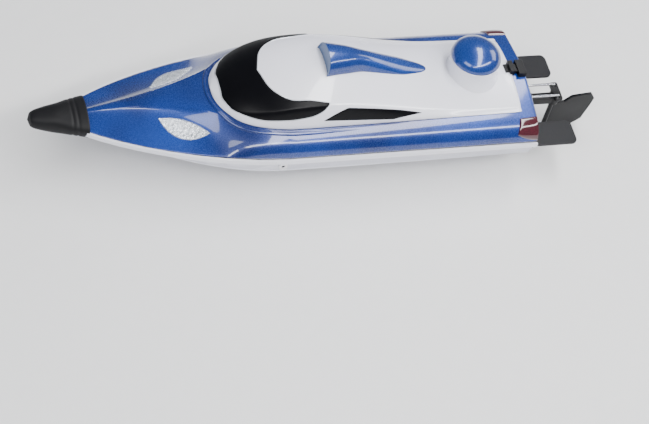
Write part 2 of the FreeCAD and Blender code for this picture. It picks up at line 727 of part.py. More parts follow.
for ahead, place_word in (("+", "front"), ("-", "rear")):
    knob_x = f"{HATCH_X} {ahead} {KNOB_REACH}"
    top_z = f"{COVER_Z} + cover_thickness + free_clearance"
    disc = cylinder("knob_radius", "2.2", knob_x, 0, top_z)
    grip = box("knob_radius * 1.7", "3", "knob_height - 2.2", knob_x, 0, f"{top_z} + 2.2")
    stem = cylinder("knob_stem_radius", "cover_thickness + free_clearance + 2", knob_x, 0, f"{COVER_Z} - 2")
    foot = box("8", "3.6", "1.4", knob_x, 0, f"{COVER_Z} - 2 - 1.4 + 0.4")
    node(fuse(disc, grip, stem, foot), f"hatch_knob_{place_word}")

# ---- latch -----------------------------------------------------------------------------------------

latch_top = deck_ring(transom_x + 4)[3][1]
latch_base_form = Part.makeBox(6.6, 15, 9, Vec(transom_x + 0.8, -7.5, latch_top - 5))
latch_slot = Part.makeBox(20, 9.2, 4.0, Vec(transom_x - 5, -4.6, latch_top - 0.3))
latch_housing = latch_base_form.cut([latch_slot, deck_outer])
node(computed(latch_housing), "latch_housing")
latch_bar = Part.makeBox(14, 8.4, 2.6, Vec(transom_x + 4, -4.2, latch_top + 0.4))
latch_pad = Part.makeBox(4, 12, 5.2, Vec(transom_x + 10.6, -6, latch_top + 0.4))
node(computed(latch_bar.fuse(latch_pad).cut(deck_grown).removeSplitter()), "cabin_latch")

# ---- drive line ------------------------------------------------------------------------------------

tube = cut(shaft_rod(TUBE_OUTER, "tube_length", "-tube_overhang"),
           shaft_rod(TUBE_INNER, "tube_length + 2", "-tube_overhang - 1"))
node(tube, "stuffing_tube")
bush_starts = ("-tube_overhang", "tube_length - tube_overhang - bush_length")
bushes = []
for start in bush_starts:
    bushes.append(cut(shaft_rod(TUBE_INNER, "bush_length", start),
                      shaft_rod("shaft_radius + run_clearance", "bush_length + 2", f"{start} - 1")))
node(fuse(*bushes), "shaft_bushes")

SHAFT_AFT = "(-tube_overhang - 2 - hub_length - nut_length - 0.6)"
SHAFT_FORE = "(tube_length - tube_overhang + 10)"
node(shaft_rod("shaft_radius", f"{SHAFT_FORE} - {SHAFT_AFT}", SHAFT_AFT), "drive_shaft")

HUB_START = "(-tube_overhang - 2 - hub_length)"
propeller = new_body("propeller")
hub_sketch = new_sketch(propeller)
draw_circle(hub_sketch, "hub_radius")
pad(propeller, hub_sketch, "hub_length")
blade_sketch = new_sketch(propeller, "YZ_Plane")
draw_outline(blade_sketch, [
    ("-1.5", "hub_length * 0.1"),
    ("1", "hub_length * 0.25"),
    ("3.6", "hub_length * 0.85"),
    ("1.2", "hub_length * 0.9"),
])
blade = pad(propeller, blade_sketch, "propeller_radius")
blades = propeller.newObject("PartDesign::PolarPattern", "blades")
blades.Originals = [blade]
blades.Axis = (hub_sketch, ["N_Axis"])
blades.Angle = 360
blades.Occurrences = 3
propeller.Tip = blades
bore_sketch = new_sketch(propeller)
draw_circle(bore_sketch, "shaft_radius")
pocket_through(propeller, bore_sketch, "hub_length + 5")
on_shaft(propeller, HUB_START)

NUT_START = f"({HUB_START} - nut_length)"
nut_bar = doc.addObject("Part::Prism", "hexagon")
nut_bar.Polygon = 6
bind(nut_bar, "Circumradius", "nut_radius")
bind(nut_bar, "Height", "nut_length")
on_shaft(nut_bar, NUT_START)
node(cut(nut_bar, shaft_rod("shaft_radius", "nut_length + 2", f"{NUT_START} - 1")), "propeller_nut")

COUPLING_START = "(tube_length - tube_overhang + 3)"
MOTOR_START = f"({COUPLING_START} + coupling_length + 6)"
coupling = cut(
    shaft_rod("coupling_radius", "coupling_length", COUPLING_START),
    shaft_rod("shaft_radius", "9", f"{COUPLING_START} - 2"),
    shaft_rod("1.6", "12", f"{COUPLING_START} + coupling_length - 10"),
)
node(coupling, "shaft_coupling")
node(shaft_rod("1.6", "16 - run_clearance + 4", f"{COUPLING_START} + coupling_length - 10"), "motor_shaft")

can = cut(shaft_rod("motor_radius", "motor_length", MOTOR_START),
          shaft_rod("1.6 + run_clearance", "8", f"{MOTOR_START} - 1"))
node(can, "motor_can")
node(shaft_rod("motor_radius - 1", "cap_length", f"{MOTOR_START} + motor_length"), "motor_end_cap")
JACKET_START = f"({MOTOR_START} + 8)"
jacket_ring = cut(shaft_rod("motor_radius + jacket_wall", "jacket_length", JACKET_START),
                  shaft_rod("motor_radius", "jacket_length + 2", f"{JACKET_START} - 1"))
cos_a = math.cos(math.radians(D["shaft_angle"]))
sin_a = math.sin(math.radians(D["shaft_angle"]))
coupling_start = D["tube_length"] - D["tube_overhang"] + 3
motor_start = coupling_start + D["coupling_length"] + 6
jacket_start = motor_start + 8


def shaft_point(start):
    return Vec(transom_x + start * cos_a, 0, keel_z + D["shaft_exit_height"] + start * sin_a)


nipple_reach = D["motor_radius"] + D["jacket_wall"]
NIPPLE_LENGTH = 5.0
nipples = []
for side, start in ((1, jacket_start + 20), (-1, jacket_start + 6)):
    root = shaft_point(start) + Vec(0, side * (nipple_reach - 1), 0)
    nipples.append(Part.makeCylinder(D["nipple_radius"], NIPPLE_LENGTH + 1.0, root, Vec(0, side, 0)))
node(fuse(jacket_ring, *[computed(shape, "nipple") for shape in nipples]), "cooling_jacket")


def in_bay(shape):
    """The part of shape that lies inside the hull's shell."""
    return shape.common(bay)


def tilted(shape, point):
    """Stand a shape drawn on the drive line's own axes at a point of that line."""
    shape.Placement = FreeCAD.Placement(point, Rot(Vec(0, 1, 0), 90 - D["shaft_angle"]))
    return shape


plate = Part.makeBox(34, 44, D["mount_thickness"], Vec(-16, -22, 0))
plate_point = shaft_point(motor_start - D["mount_thickness"])
bulkhead = computed(in_bay(tilted(plate, plate_point)), "bulkhead")
node(cut(bulkhead, shaft_rod("5", "20", f"{MOTOR_START} - 10")), "motor_mount")
motor_bolts = [
    tilted(Part.makeCylinder(D["screw_head_radius"], D["screw_head_height"], Vec(0, side * 9, 0)),
           shaft_point(motor_start - D["mount_thickness"] - D["screw_head_height"]))
    for side in (1, -1)
]

# ---- steering --------------------------------------------------------------------------------------

STOCK_X = f"({TRANSOM} - stock_from_transom)"
SERVO_X = f"({TRANSOM} + servo_from_transom)"
ARM_Z = f"({ROD_Z} - rod_radius - 0.6 - arm_thickness)"
BARREL_Z = f"({ARM_Z} - 0.8 - barrel_length)"
bracket_plate = box("3", "24", "21", f"{TRANSOM} - 1.5", 0, f"{BARREL_Z} - 11")
bracket_beam = box("stock_from_transom - 3", "7", "6", f"{TRANSOM} - 1.5 - stock_from_transom / 2", 0,
                   f"{BARREL_Z} + 1")
barrel = cylinder("barrel_radius", "barrel_length", STOCK_X, 0, BARREL_Z)
barrel_bore = cylinder("stock_radius + run_clearance", "barrel_length + 4", STOCK_X, 0, f"{BARREL_Z} - 2")
tube_way = shaft_rod(TUBE_OUTER, "tube_length", "-tube_overhang")
node(cut(fuse(bracket_plate, bracket_beam, barrel), barrel_bore, tube_way), "rudder_bracket")
bracket_heads = [
    cylinder("screw_head_radius", "screw_head_height", f"{TRANSOM} - 3", y, z, (0, 1, 0), -90)
    for y in ("-8.5", "8.5") for z in (f"{BARREL_Z} - 7", f"{BARREL_Z} + 7")
]

rudder = new_body("rudder_blade")
blade_outline = new_sketch(rudder, "XZ_Plane")
draw_outline(blade_outline, [
    ("0", "1"),
    ("-blade_chord * 0.62", "0"),
    ("-blade_chord * 0.86", "rudder_height * 0.25"),
    ("-blade_chord * 0.97", "rudder_height * 0.85"),
    ("-blade_chord", "rudder_height * 1.1"),
    ("-blade_chord * 0.9", "rudder_height * 1.28"),
    ("-blade_chord * 0.45", "rudder_height * 1.2"),
    ("-blade_chord * 0.3", f"{BARREL_Z} - 1"),
    ("0", f"{BARREL_Z} - 1"),
])
pad(rudder, blade_outline, "rudder_thickness")
place(rudder, STOCK_X, "rudder_thickness / 2", 0)
nodes.remove(rudder)
stock = cylinder("stock_radius", f"{ARM_Z} + arm_thickness + 0.4 - 2", STOCK_X, 0, "2")
rudder.Label = "blade_plate"
node(fuse(rudder, stock), "rudder")


def steering_arm(label, x, bore):
    """Flat arm across the boat with a loose hole for each pushrod and a bore in its middle."""
    arm = slab("arm_width", "rod_spacing + 2 * arm_hole_radius + 3", "arm_thickness", "1.5")
    place(arm, x, 0, ARM_Z)
    holes = [
        cylinder("arm_hole_radius", "arm_thickness + 4", x, f"{side} * rod_spacing / 2", f"{ARM_Z} - 2")
        for side in (1, -1)
    ]
    middle = cylinder(bore, "arm_thickness + 4", x, 0, f"{ARM_Z} - 2")
    return node(cut(arm, middle, *holes), label)


steering_arm("tiller", STOCK_X, "stock_radius")
steering_arm("servo_horn", SERVO_X, "stock_radius")
gaiters = []
for side, hand in ((1, "left"), (-1, "right")):
    rod_y = f"{side} * rod_spacing / 2"
    wire = cylinder("rod_radius", "servo_from_transom + stock_from_transom", STOCK_X, rod_y, ROD_Z,
                    (0, 1, 0), 90)
    ends = [
        cylinder("rod_radius", f"{ROD_Z} - ({ARM_Z})", x, rod_y, ARM_Z)
        for x in (STOCK_X, SERVO_X)
    ]
    node(fuse(wire, *ends), f"pushrod_{hand}")
    gaiter = cylinder("bellows_radius", "bellows_length", TRANSOM, rod_y, ROD_Z, *AFT)
    neck = cylinder(f"bellows_radius - {NECK_STEP}", "hull_wall + 2", f"{TRANSOM} + hull_wall + 2", rod_y, ROD_Z, *AFT)
    gaiter_bore = cylinder("rod_radius + run_clearance", "bellows_length + 30", f"{TRANSOM} + 10",
                           rod_y, ROD_Z, *AFT)
    gaiters.append(cut(fuse(gaiter, neck), gaiter_bore))
node(fuse(*gaiters), "pushrod_bellows")

SERVO_TOP = f"({ARM_Z} - free_clearance)"
servo_case = box("servo_length", "servo_width", "servo_height", f"{SERVO_X} + 5", 0,
                 f"{SERVO_TOP} - servo_height")
servo_bore = cylinder("stock_radius + run_clearance", "8", SERVO_X, 0, f"{SERVO_TOP} - 7")
ear = box("servo_length + 12", "12", "2", f"{SERVO_X} + 5", 0, f"{SERVO_TOP} - 7")
servo_body = fuse(servo_case, ear)
node(cut(servo_body, servo_bore), "steering_servo")
node(cylinder("stock_radius", "arm_thickness + free_clearance + 6.4", SERVO_X, 0, f"{SERVO_TOP} - 6"),
     "servo_output")
servo_x = transom_x + D["servo_from_transom"]
arm_z = gunwale_z - D["rod_below_gunwale"] - D["rod_radius"] - 0.6 - D["arm_thickness"]
servo_top = arm_z - D["free_clearance"]
rail_reach = D["servo_length"] / 2 + 4
rails = [
    in_bay(Part.makeBox(4, 70, 40, Vec(servo_x + 5 + end * rail_reach - 2, -35, servo_top - 47)))
    for end in (1, -1)
]
tube_radius = D["shaft_radius"] + D["tube_gap"] + D["tube_wall"]
tube_clear = tilted(Part.makeCylinder(tube_radius, 140), shaft_point(-15))
node(computed(Part.makeCompound([rail.cut(tube_clear) for rail in rails])), "servo_mount")
servo_heads = [
    cylinder("screw_head_radius", "screw_head_height", f"{SERVO_X} + 5 + {end} * (servo_length / 2 + 3.5)", 0,
             f"{SERVO_TOP} - 5")
    for end in (1, -1)
]
bolt_heads = [computed(shape, "bolt") for shape in motor_bolts]
node(fuse(*bolt_heads, *bracket_heads, *servo_heads), "machine_screws")

# ---- trim tabs -------------------------------------------------------------------------------------

tab_z = chine(transom_x)[1] + 5.0
tab_brackets = []
tab_pins = []
for side, hand in ((1, "left"), (-1, "right")):
    y = f"{side} * tab_offset"
    pin_x, pin_z = f"{TRANSOM} - 3.6", str(tab_z)
    lug = box("3.6 + tab_pin_radius * 2", "tab_width * 0.3", "5", f"{TRANSOM} - 1.8 - tab_pin_radius", y,
              f"{tab_z} - 2.5")
    back = box("1.4", "tab_width", "9", f"{TRANSOM} - 0.7", y, f"{tab_z} - 2.5")
    pin_way = cylinder("tab_pin_radius + run_clearance", "tab_width + 4", pin_x, f"{y} - tab_width / 2 - 2",
                       pin_z, (1, 0, 0), -90)
    tab_brackets.append(cut(fuse(lug, back), pin_way))
    pin = cylinder("tab_pin_radius", "tab_width", pin_x, f"{y} - tab_width / 2", pin_z, (1, 0, 0), -90)
    plate_body = slab("tab_length", "tab_width", "tab_thickness", "5")
    place(plate_body, f"{pin_x} - tab_length / 2 - 2.2", y, f"{tab_z} - tab_thickness / 2")
    knuckles = [
        cylinder("tab_pin_radius + 1.2", "tab_width * 0.3", pin_x, f"{y} + {start} * tab_width", pin_z,
                 (1, 0, 0), -90)
        for start in (-0.5, 0.2)
    ]
    webs = [
        box("3", "tab_width * 0.3", "tab_thickness", f"{pin_x} - 2.2", f"{y} + {middle} * tab_width",
            f"{tab_z} - tab_thickness / 2")
        for middle in (-0.35, 0.35)
    ]
    node(cut(fuse(plate_body, *knuckles, *webs), pin), f"trim_tab_{hand}")
    tab_pins.append(pin)
node(fuse(*tab_brackets), "trim_brackets")
node(fuse(*tab_pins), "trim_pins")

# ---- electrics and cooling -------------------------------------------------------------------------

battery_x = shaft_point(motor_start + D["motor_length"] + D["cap_length"]).x + D["battery_gap"]
battery_middle = battery_x + D["battery_length"] / 2 + 2
tray_z = keel_height(battery_middle + 34) + D["hull_wall"] + 6
tray = Part.makeBox(D["battery_length"] + 8, 80, D["tray_thickness"],
                    Vec(battery_middle - D["battery_length"] / 2 - 4, -40, tray_z))
node(computed(in_bay(tray)), "battery_tray")
pack = slab("battery_length", "battery_width", "battery_height", "3")
place(pack, battery_middle, 0, tray_z + D["tray_thickness"])
node(pack, "battery_pack")
strap_outer = box("14", "battery_width + 2.4", "battery_height + 1.2", battery_middle, 0,
                  tray_z + D["tray_thickness"])
strap_inner = box("16", "battery_width", "battery_height", battery_middle, 0, tray_z + D["tray_thickness"])
node(cut(strap_outer, strap_inner), "battery_strap")

shelf_x = transom_x + D["servo_from_transom"] + D["servo_length"] / 2 + 14 + D["board_length"] / 2
shelf_z = chine(shelf_x)[1] + 1
shelves = [
    in_bay(Part.makeBox(D["board_length"] + 4, 30, D["tray_thickness"],
                        Vec(shelf_x - D["board_length"] / 2 - 2, side * 31 - 15, shelf_z)))
    for side in (1, -1)
]
node(computed(Part.makeCompound(shelves)), "equipment_shelves")
board_y = 9.5 + D["board_width"] / 2 + 8
for side, label in ((1, "speed_controller"), (-1, "receiver_box")):
    case = slab("board_length", "board_width", "board_height", "2")
    node(place(case, shelf_x, side * board_y, shelf_z + D["tray_thickness"]), label)

float_block = Part.makeBox(hull_length * 0.14, 100, D["hull_depth"] * 0.42,
                           Vec(at_length(0.745), -50, gunwale_z - 0.5 * D["hull_depth"]))
node(computed(in_bay(float_block)), "foam_float")

outlet_x = D["overall_length"] / 2 - 0.403 * D["overall_length"]
outlet_z = gunwale_z - D["flange_height"] - 4
hull_side = half_breadth(outlet_x) - 1.2
outlet = Part.makeCylinder(D["nipple_radius"], 11, Vec(outlet_x, hull_side - 9, outlet_z), Vec(0, 1, 0))
collar_root = Vec(outlet_x, hull_side - 0.6, outlet_z)
collar = Part.makeCylinder(D["nipple_radius"] + 1.8, 2.6, collar_root, Vec(0, 1, 0))
spout = Part.makeCylinder(D["nipple_radius"] - 0.8, 30, Vec(outlet_x, hull_side - 15, outlet_z), Vec(0, 1, 0))
node(computed(outlet.fuse(collar.cut(hull_outer)).cut(spout)), "water_outlet")
pickup = Part.makeCylinder(D["nipple_radius"], 12, Vec(inlet_x, inlet_y, keel_z + 1.5))
pickup_bore = Part.makeCylinder(D["nipple_radius"] - 0.8, 30, Vec(inlet_x, inlet_y, keel_z - 5))
node(computed(pickup.cut(pickup_bore)), "water_pickup")


def hose(points):
    """Tube through a list of points: straight runs joined by arcs that touch both."""
    edges = []
    start = points[0]
    for before, corner, after in zip(points, points[1:], points[2:]):
        into = (corner - before).normalize()
        away = (after - corner).normalize()
        reach = 0.45 * min((corner - before).Length, (after - corner).Length)
        first, last = corner - into * reach, corner + away * reach
        half_turn = into.getAngle(away) / 2
        radius = reach / math.tan(half_turn)
        centre_way = (away - into).normalize()
        crown = corner + centre_way * (radius / math.cos(half_turn) - radius)
        edges.append(Part.LineSegment(start, first).toShape())
        edges.append(Part.Arc(first, crown, last).toShape())
        start = last
    edges.append(Part.LineSegment(start, points[-1]).toShape())
    path = Part.Wire(edges)
    way = (points[1] - points[0]).normalize()
    outer = Part.Wire(Part.Circle(points[0], way, D["hose_radius"]).toShape())
    bore = Part.Wire(Part.Circle(points[0], way, D["nipple_radius"]).toShape())
    return path.makePipeShell([outer], True, False).cut(path.makePipeShell([bore], True, False))


out_nipple = shaft_point(jacket_start + 20) + Vec(0, nipple_reach + 1.5, 0)
node(computed(hose([
    out_nipple,
    out_nipple + Vec(0, 12, 0),
    Vec(0.45 * (out_nipple.x + outlet_x), out_nipple.y + 17, 0.5 * (out_nipple.z + outlet_z)),
    Vec(outlet_x, hull_side - 19, outlet_z),
    Vec(outlet_x, hull_side - 6, outlet_z),
])), "cooling_hose_out")
in_nipple = shaft_point(jacket_start + 6) + Vec(0, -nipple_reach - 1.5, 0)
mount_x = plate_point.x
node(computed(hose([
    Vec(inlet_x, inlet_y, keel_z + 8.5),
    Vec(inlet_x, inlet_y, keel_z + 19),
    Vec(mount_x - 4, -30, keel_z + 22),
    Vec(mount_x + 9, -32, in_nipple.z + 2),
    Vec(in_nipple.x, in_nipple.y - 12, in_nipple.z),
    in_nipple,
])), "cooling_hose_in")
node(computed(contact_solids), "water_contacts")

# ---- checks and files ------------------------------------------------------------------------------

doc.recompute()
for obj in doc.Objects:
    if "Invalid" in obj.State or "Error" in obj.State:
        raise RuntimeError(f"{obj.Name} ({obj.Label}) failed: {obj.State}")
os.makedirs("parts", exist_ok=True)
for obj in nodes:
    shape = obj.Shape
    if shape.isNull() or not shape.isValid() or not shape.Solids:
        raise RuntimeError(f"{obj.Label} has no valid solid")
    shape.exportStep(f"parts/{obj.Label}.step")
print(len(nodes), "sub-parts written")
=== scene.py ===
"""Looks for a radio controlled racing boat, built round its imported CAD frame.

Surfaces are worked out in millimetres as numpy arrays and become metres when a mesh is made.
"""

import json
import logging
import math
from dataclasses import dataclass, field
from enum import Enum

import bmesh
import bpy
import numpy as np
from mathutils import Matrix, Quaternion, Vector

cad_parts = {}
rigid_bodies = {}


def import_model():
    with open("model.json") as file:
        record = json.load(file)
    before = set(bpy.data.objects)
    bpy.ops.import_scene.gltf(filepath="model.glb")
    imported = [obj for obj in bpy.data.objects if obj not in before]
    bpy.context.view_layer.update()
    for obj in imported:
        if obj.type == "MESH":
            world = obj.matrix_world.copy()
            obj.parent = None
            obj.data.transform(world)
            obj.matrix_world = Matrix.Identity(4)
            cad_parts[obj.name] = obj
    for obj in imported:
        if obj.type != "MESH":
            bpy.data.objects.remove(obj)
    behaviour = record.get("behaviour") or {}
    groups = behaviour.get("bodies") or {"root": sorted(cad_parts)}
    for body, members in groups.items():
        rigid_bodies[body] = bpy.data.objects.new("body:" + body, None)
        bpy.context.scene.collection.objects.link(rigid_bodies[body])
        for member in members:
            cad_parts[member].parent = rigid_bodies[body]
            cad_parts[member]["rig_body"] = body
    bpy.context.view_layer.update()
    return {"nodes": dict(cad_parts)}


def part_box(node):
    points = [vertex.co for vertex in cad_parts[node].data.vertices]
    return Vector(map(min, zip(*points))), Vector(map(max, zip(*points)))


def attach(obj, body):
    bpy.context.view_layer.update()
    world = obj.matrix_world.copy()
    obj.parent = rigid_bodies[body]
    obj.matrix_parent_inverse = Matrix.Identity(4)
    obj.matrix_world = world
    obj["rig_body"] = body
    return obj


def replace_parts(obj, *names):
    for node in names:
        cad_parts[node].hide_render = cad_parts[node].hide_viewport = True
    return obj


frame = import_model()

MM = 0.001
WAVES_PER_METRE = 314.16
MERGE_M = 1e-6
TINY = 1e-30
SHARP_DEGREES = 38
SIDES = ((1, "left"), (-1, "right"))
log = logging.getLogger("boat")
Colour = tuple[float, float, float]


# ---- shader maths ----------------------------------------------------------------------------------


class Wire:
    """An output socket that takes part in sums on values."""

    def __init__(self, shader: "Shader", socket: bpy.types.NodeSocket) -> None:
        """Hold a socket and the shader whose tree it is in."""
        self.shader = shader
        self.socket = socket

    def _maths(self, operation: str, first: "Wire | float", second: "Wire | float") -> "Wire":
        """Add one Math node on two values."""
        return self.shader.node("ShaderNodeMath", {"operation": operation}, {0: first, 1: second})

    def __add__(self, other: "Wire | float") -> "Wire":
        """Sum."""
        return self._maths("ADD", self, other)

    __radd__ = __add__

    def __mul__(self, other: "Wire | float") -> "Wire":
        """Product."""
        return self._maths("MULTIPLY", self, other)

    __rmul__ = __mul__

    def step(self, low: float, high: float) -> "Wire":
        """Smooth step: nought below low, one above high.

        Args:
            low: Value where the step starts to rise.
            high: Value where it reaches one.

        Returns:
            The stepped value.
        """
        settings = {"interpolation_type": "SMOOTHSTEP"}
        return self.shader.node("ShaderNodeMapRange", settings, {0: self, 1: low, 2: high, 3: 0.0, 4: 1.0})


class Shader:
    """A material's node tree round one Principled shader."""

    def __init__(self, name: str) -> None:
        """Start an empty material of that name."""
        self.material = bpy.data.materials.new(name)
        self.material.use_nodes = True
        self.tree = self.material.node_tree
        self.principled = self.tree.nodes["Principled BSDF"]
        coordinates = self.tree.nodes.new("ShaderNodeTexCoord")
        self.place = Wire(self, coordinates.outputs["Object"])

    def node(
        self, kind: str, settings: dict | None = None, inputs: dict | None = None, out: int | str = 0
    ) -> Wire:
        """Add a node.

        Args:
            kind: The node's type name.
            settings: Properties set before its sockets.
            inputs: Values or wires by socket number or name.
            out: Which output the returned wire is.

        Returns:
            A wire from that output.
        """
        made = self.tree.nodes.new(kind)
        for key, value in (settings or {}).items():
            setattr(made, key, value)
        for key, value in (inputs or {}).items():
            self.feed(made.inputs[key], value)
        return Wire(self, made.outputs[out])

    def feed(self, socket: bpy.types.NodeSocket, value: "Wire | float | tuple") -> None:
        """Link a wire to a socket, or set the socket to a constant."""
        if isinstance(value, Wire):
            self.tree.links.new(value.socket, socket)
        elif isinstance(value, tuple) and len(value) == 3 and socket.type == "RGBA":
            socket.default_value = (*value, 1.0)
        else:
            socket.default_value = value

    def set(self, **values: "Wire | float | tuple") -> None:
        """Feed the Principled shader's sockets; an underscore stands for a space."""
        for key, value in values.items():
            self.feed(self.principled.inputs[key.replace("_", " ")], value)

    def mix(self, factor: "Wire | float", first: "Wire | tuple", second: "Wire | tuple") -> Wire:
        """Blend two colours by a factor."""
        return self.node("ShaderNodeMix", {"data_type": "RGBA"}, {0: factor, 6: first, 7: second}, 2)

    def noise(self, grain_mm: float, detail: float = 3.0, stretch: tuple = (1.0, 1.0, 1.0)) -> Wire:
        """Cloudy noise whose grains are about grain_mm across, stretched along the axes."""
        place = self.node("ShaderNodeMapping", {}, {0: self.place, 3: stretch})
        inputs = {"Vector": place, "Scale": 1.0 / (grain_mm * MM), "Detail": detail}
        return self.node("ShaderNodeTexNoise", {}, inputs)

    def cells(self, size_mm: float, out: str = "Distance") -> Wire:
        """Voronoi cells about size_mm across."""
        inputs = {"Vector": self.place, "Scale": 1.0 / (size_mm * MM)}
        return self.node("ShaderNodeTexVoronoi", {}, inputs, out)

    def bands(self, pitch_mm: float, direction: str) -> Wire:
        """Sine bands along one axis with that pitch."""
        settings = {"bands_direction": direction}
        inputs = {"Vector": self.place, "Scale": WAVES_PER_METRE / pitch_mm}
        return self.node("ShaderNodeTexWave", settings, inputs, "Fac")

    def relief(self, height: Wire, depth_mm: float, strength: float = 1.0) -> None:
        """Bump the shader's normal by a height map."""
        inputs = {"Strength": strength, "Distance": depth_mm * MM, "Height": height}
        self.set(Normal=self.node("ShaderNodeBump", {}, inputs))


# ---- finishes --------------------------------------------------------------------------------------


@dataclass(frozen=True)
class Finish:
    """A moulded or machined surface: a colour that drifts a little, and a fine grain."""

    name: str
    slot: str
    colour: Colour
    roughness: float = 0.42
    metallic: float = 0.0
    coat: float = 0.0
    grain_mm: float = 0.8
    grain_depth_mm: float = 0.02
    drift: float = 0.12
    specular: float = 0.5

    def material(self) -> bpy.types.Material:
        """The finish's material, made once."""
        found = bpy.data.materials.get(self.name)
        if found is not None:
            return found
        shader = Shader(self.name)
        shader.set(Metallic=self.metallic, Coat_Weight=self.coat, Coat_Roughness=0.04)
        shader.set(Specular_IOR_Level=self.specular)
        self.dress(shader)
        return shader.material

    def shade(self, factor: float) -> Colour:
        """The base colour made lighter or darker."""
        return tuple(min(1.0, c * factor) for c in self.colour)

    def dress(self, shader: Shader) -> None:
        """Cloudy colour between two shades, roughness that follows it, and a grainy bump."""
        cloud = shader.noise(14.0, 4.0)
        shader.set(Base_Color=shader.mix(cloud, self.shade(1 - self.drift), self.shade(1 + self.drift)))
        shader.set(Roughness=cloud * 0.12 + (self.roughness - 0.06))
        shader.relief(shader.noise(self.grain_mm, 2.0), self.grain_depth_mm)


@dataclass(frozen=True)
class CandyPaint(Finish):
    """Metallic paint under clear lacquer: deep and bright shades, tiny flakes, faint orange peel."""

    deep: Colour = (0.0, 0.012, 0.11)

    def dress(self, shader: Shader) -> None:
        """Bright colour clouded by the deep one and speckled cell by cell with flakes."""
        cloud = shader.noise(60.0, 2.0)
        tone = shader.mix(cloud.step(0.25, 0.8), self.deep, self.colour)
        flake = shader.node("ShaderNodeSeparateColor", {}, {0: shader.cells(0.35, "Color")})
        shader.set(Base_Color=shader.mix(flake.step(0.8, 1.0) * 0.07, tone, self.shade(1.9)))
        shader.set(Roughness=flake * 0.12 + self.roughness)
        shader.relief(shader.noise(5.0, 1.0), 0.02, 0.35)


@dataclass(frozen=True)
class PearlPaint(Finish):
    """Pearl white: a cool white with a lavender cast that clouds softly."""

    cast: Colour = (0.66, 0.67, 0.86)

    def dress(self, shader: Shader) -> None:
        """White and cast mixed by a broad cloud and by the glancing share of the surface."""
        cloud = shader.noise(45.0, 2.0)
        glance = shader.node("ShaderNodeLayerWeight", {}, {"Blend": 0.35}, "Facing")
        shader.set(Base_Color=shader.mix(cloud * 0.25 + glance * 0.45, self.colour, self.cast))
        shader.set(Roughness=cloud * 0.08 + self.roughness)
        shader.relief(shader.noise(6.0, 1.0), 0.02, 0.3)


@dataclass(frozen=True)
class ClearPlastic(Finish):
    """Thin clear moulding that lets most light through."""

    opacity: float = 0.3

    def dress(self, shader: Shader) -> None:
        """Nearly clear, a little more solid where it clouds."""
        cloud = shader.noise(4.0, 2.0)
        shader.set(Base_Color=self.colour, Roughness=self.roughness)
        shader.set(Alpha=cloud * 0.12 + (self.opacity - 0.06))


@dataclass(frozen=True)
class CrumpledFoil(Finish):
    """Bright foil creased into small facets, with each facet's light or dark look painted into the colour as
    painted reflection.
    """

    def dress(self, shader: Shader) -> None:
        """Facets by Voronoi cells of two sizes, with light and dark patches that are painted reflection of
        facets catching the light.
        """
        facet_glint = shader.node("ShaderNodeSeparateColor", {}, {0: shader.cells(2.4, "Color")})
        # Painted reflection: some facets are darkened to 0.55 of the foil's colour, as if they faced away
        # from the light.
        shader.set(Base_Color=shader.mix(facet_glint, self.shade(0.55), self.colour))
        shader.set(Roughness=facet_glint * 0.2 + self.roughness)
        shader.relief(shader.cells(2.4) + shader.cells(0.9) * 0.4, 0.7, 0.9)


@dataclass(frozen=True)
class TurnedMetal(Finish):
    """Bright metal with fine tool marks across the boat's length."""

    def dress(self, shader: Shader) -> None:
        """Tool marks are noise squeezed along X; stains are a broad cloud."""
        marks = shader.noise(3.0, 3.0, (9.0, 1.0, 1.0))
        stain = shader.noise(11.0, 3.0)
        shader.set(Base_Color=shader.mix(stain.step(0.3, 0.75), self.shade(0.82), self.shade(1.08)))
        shader.set(Roughness=marks * 0.18 + (self.roughness - 0.09))
        shader.relief(marks, 0.02, 0.5)


@dataclass(frozen=True)
class Webbing(Finish):
    """Woven strap: crossed ribs, one set offset from the other."""

    def dress(self, shader: Shader) -> None:
        """Product of two sine bands for the weave, with painted shade between the threads and a painted
        highlight on their crowns.
        """
        weave = shader.bands(0.9, "X") * shader.bands(0.7, "Y")
        # Painted shade in the weave's gaps and painted highlight on the threads: the strap colour at 0.4 and
        # at 1.6.
        shader.set(Base_Color=shader.mix(weave, self.shade(0.4), self.shade(1.6)), Roughness=self.roughness)
        shader.relief(weave, 0.25, 0.9)


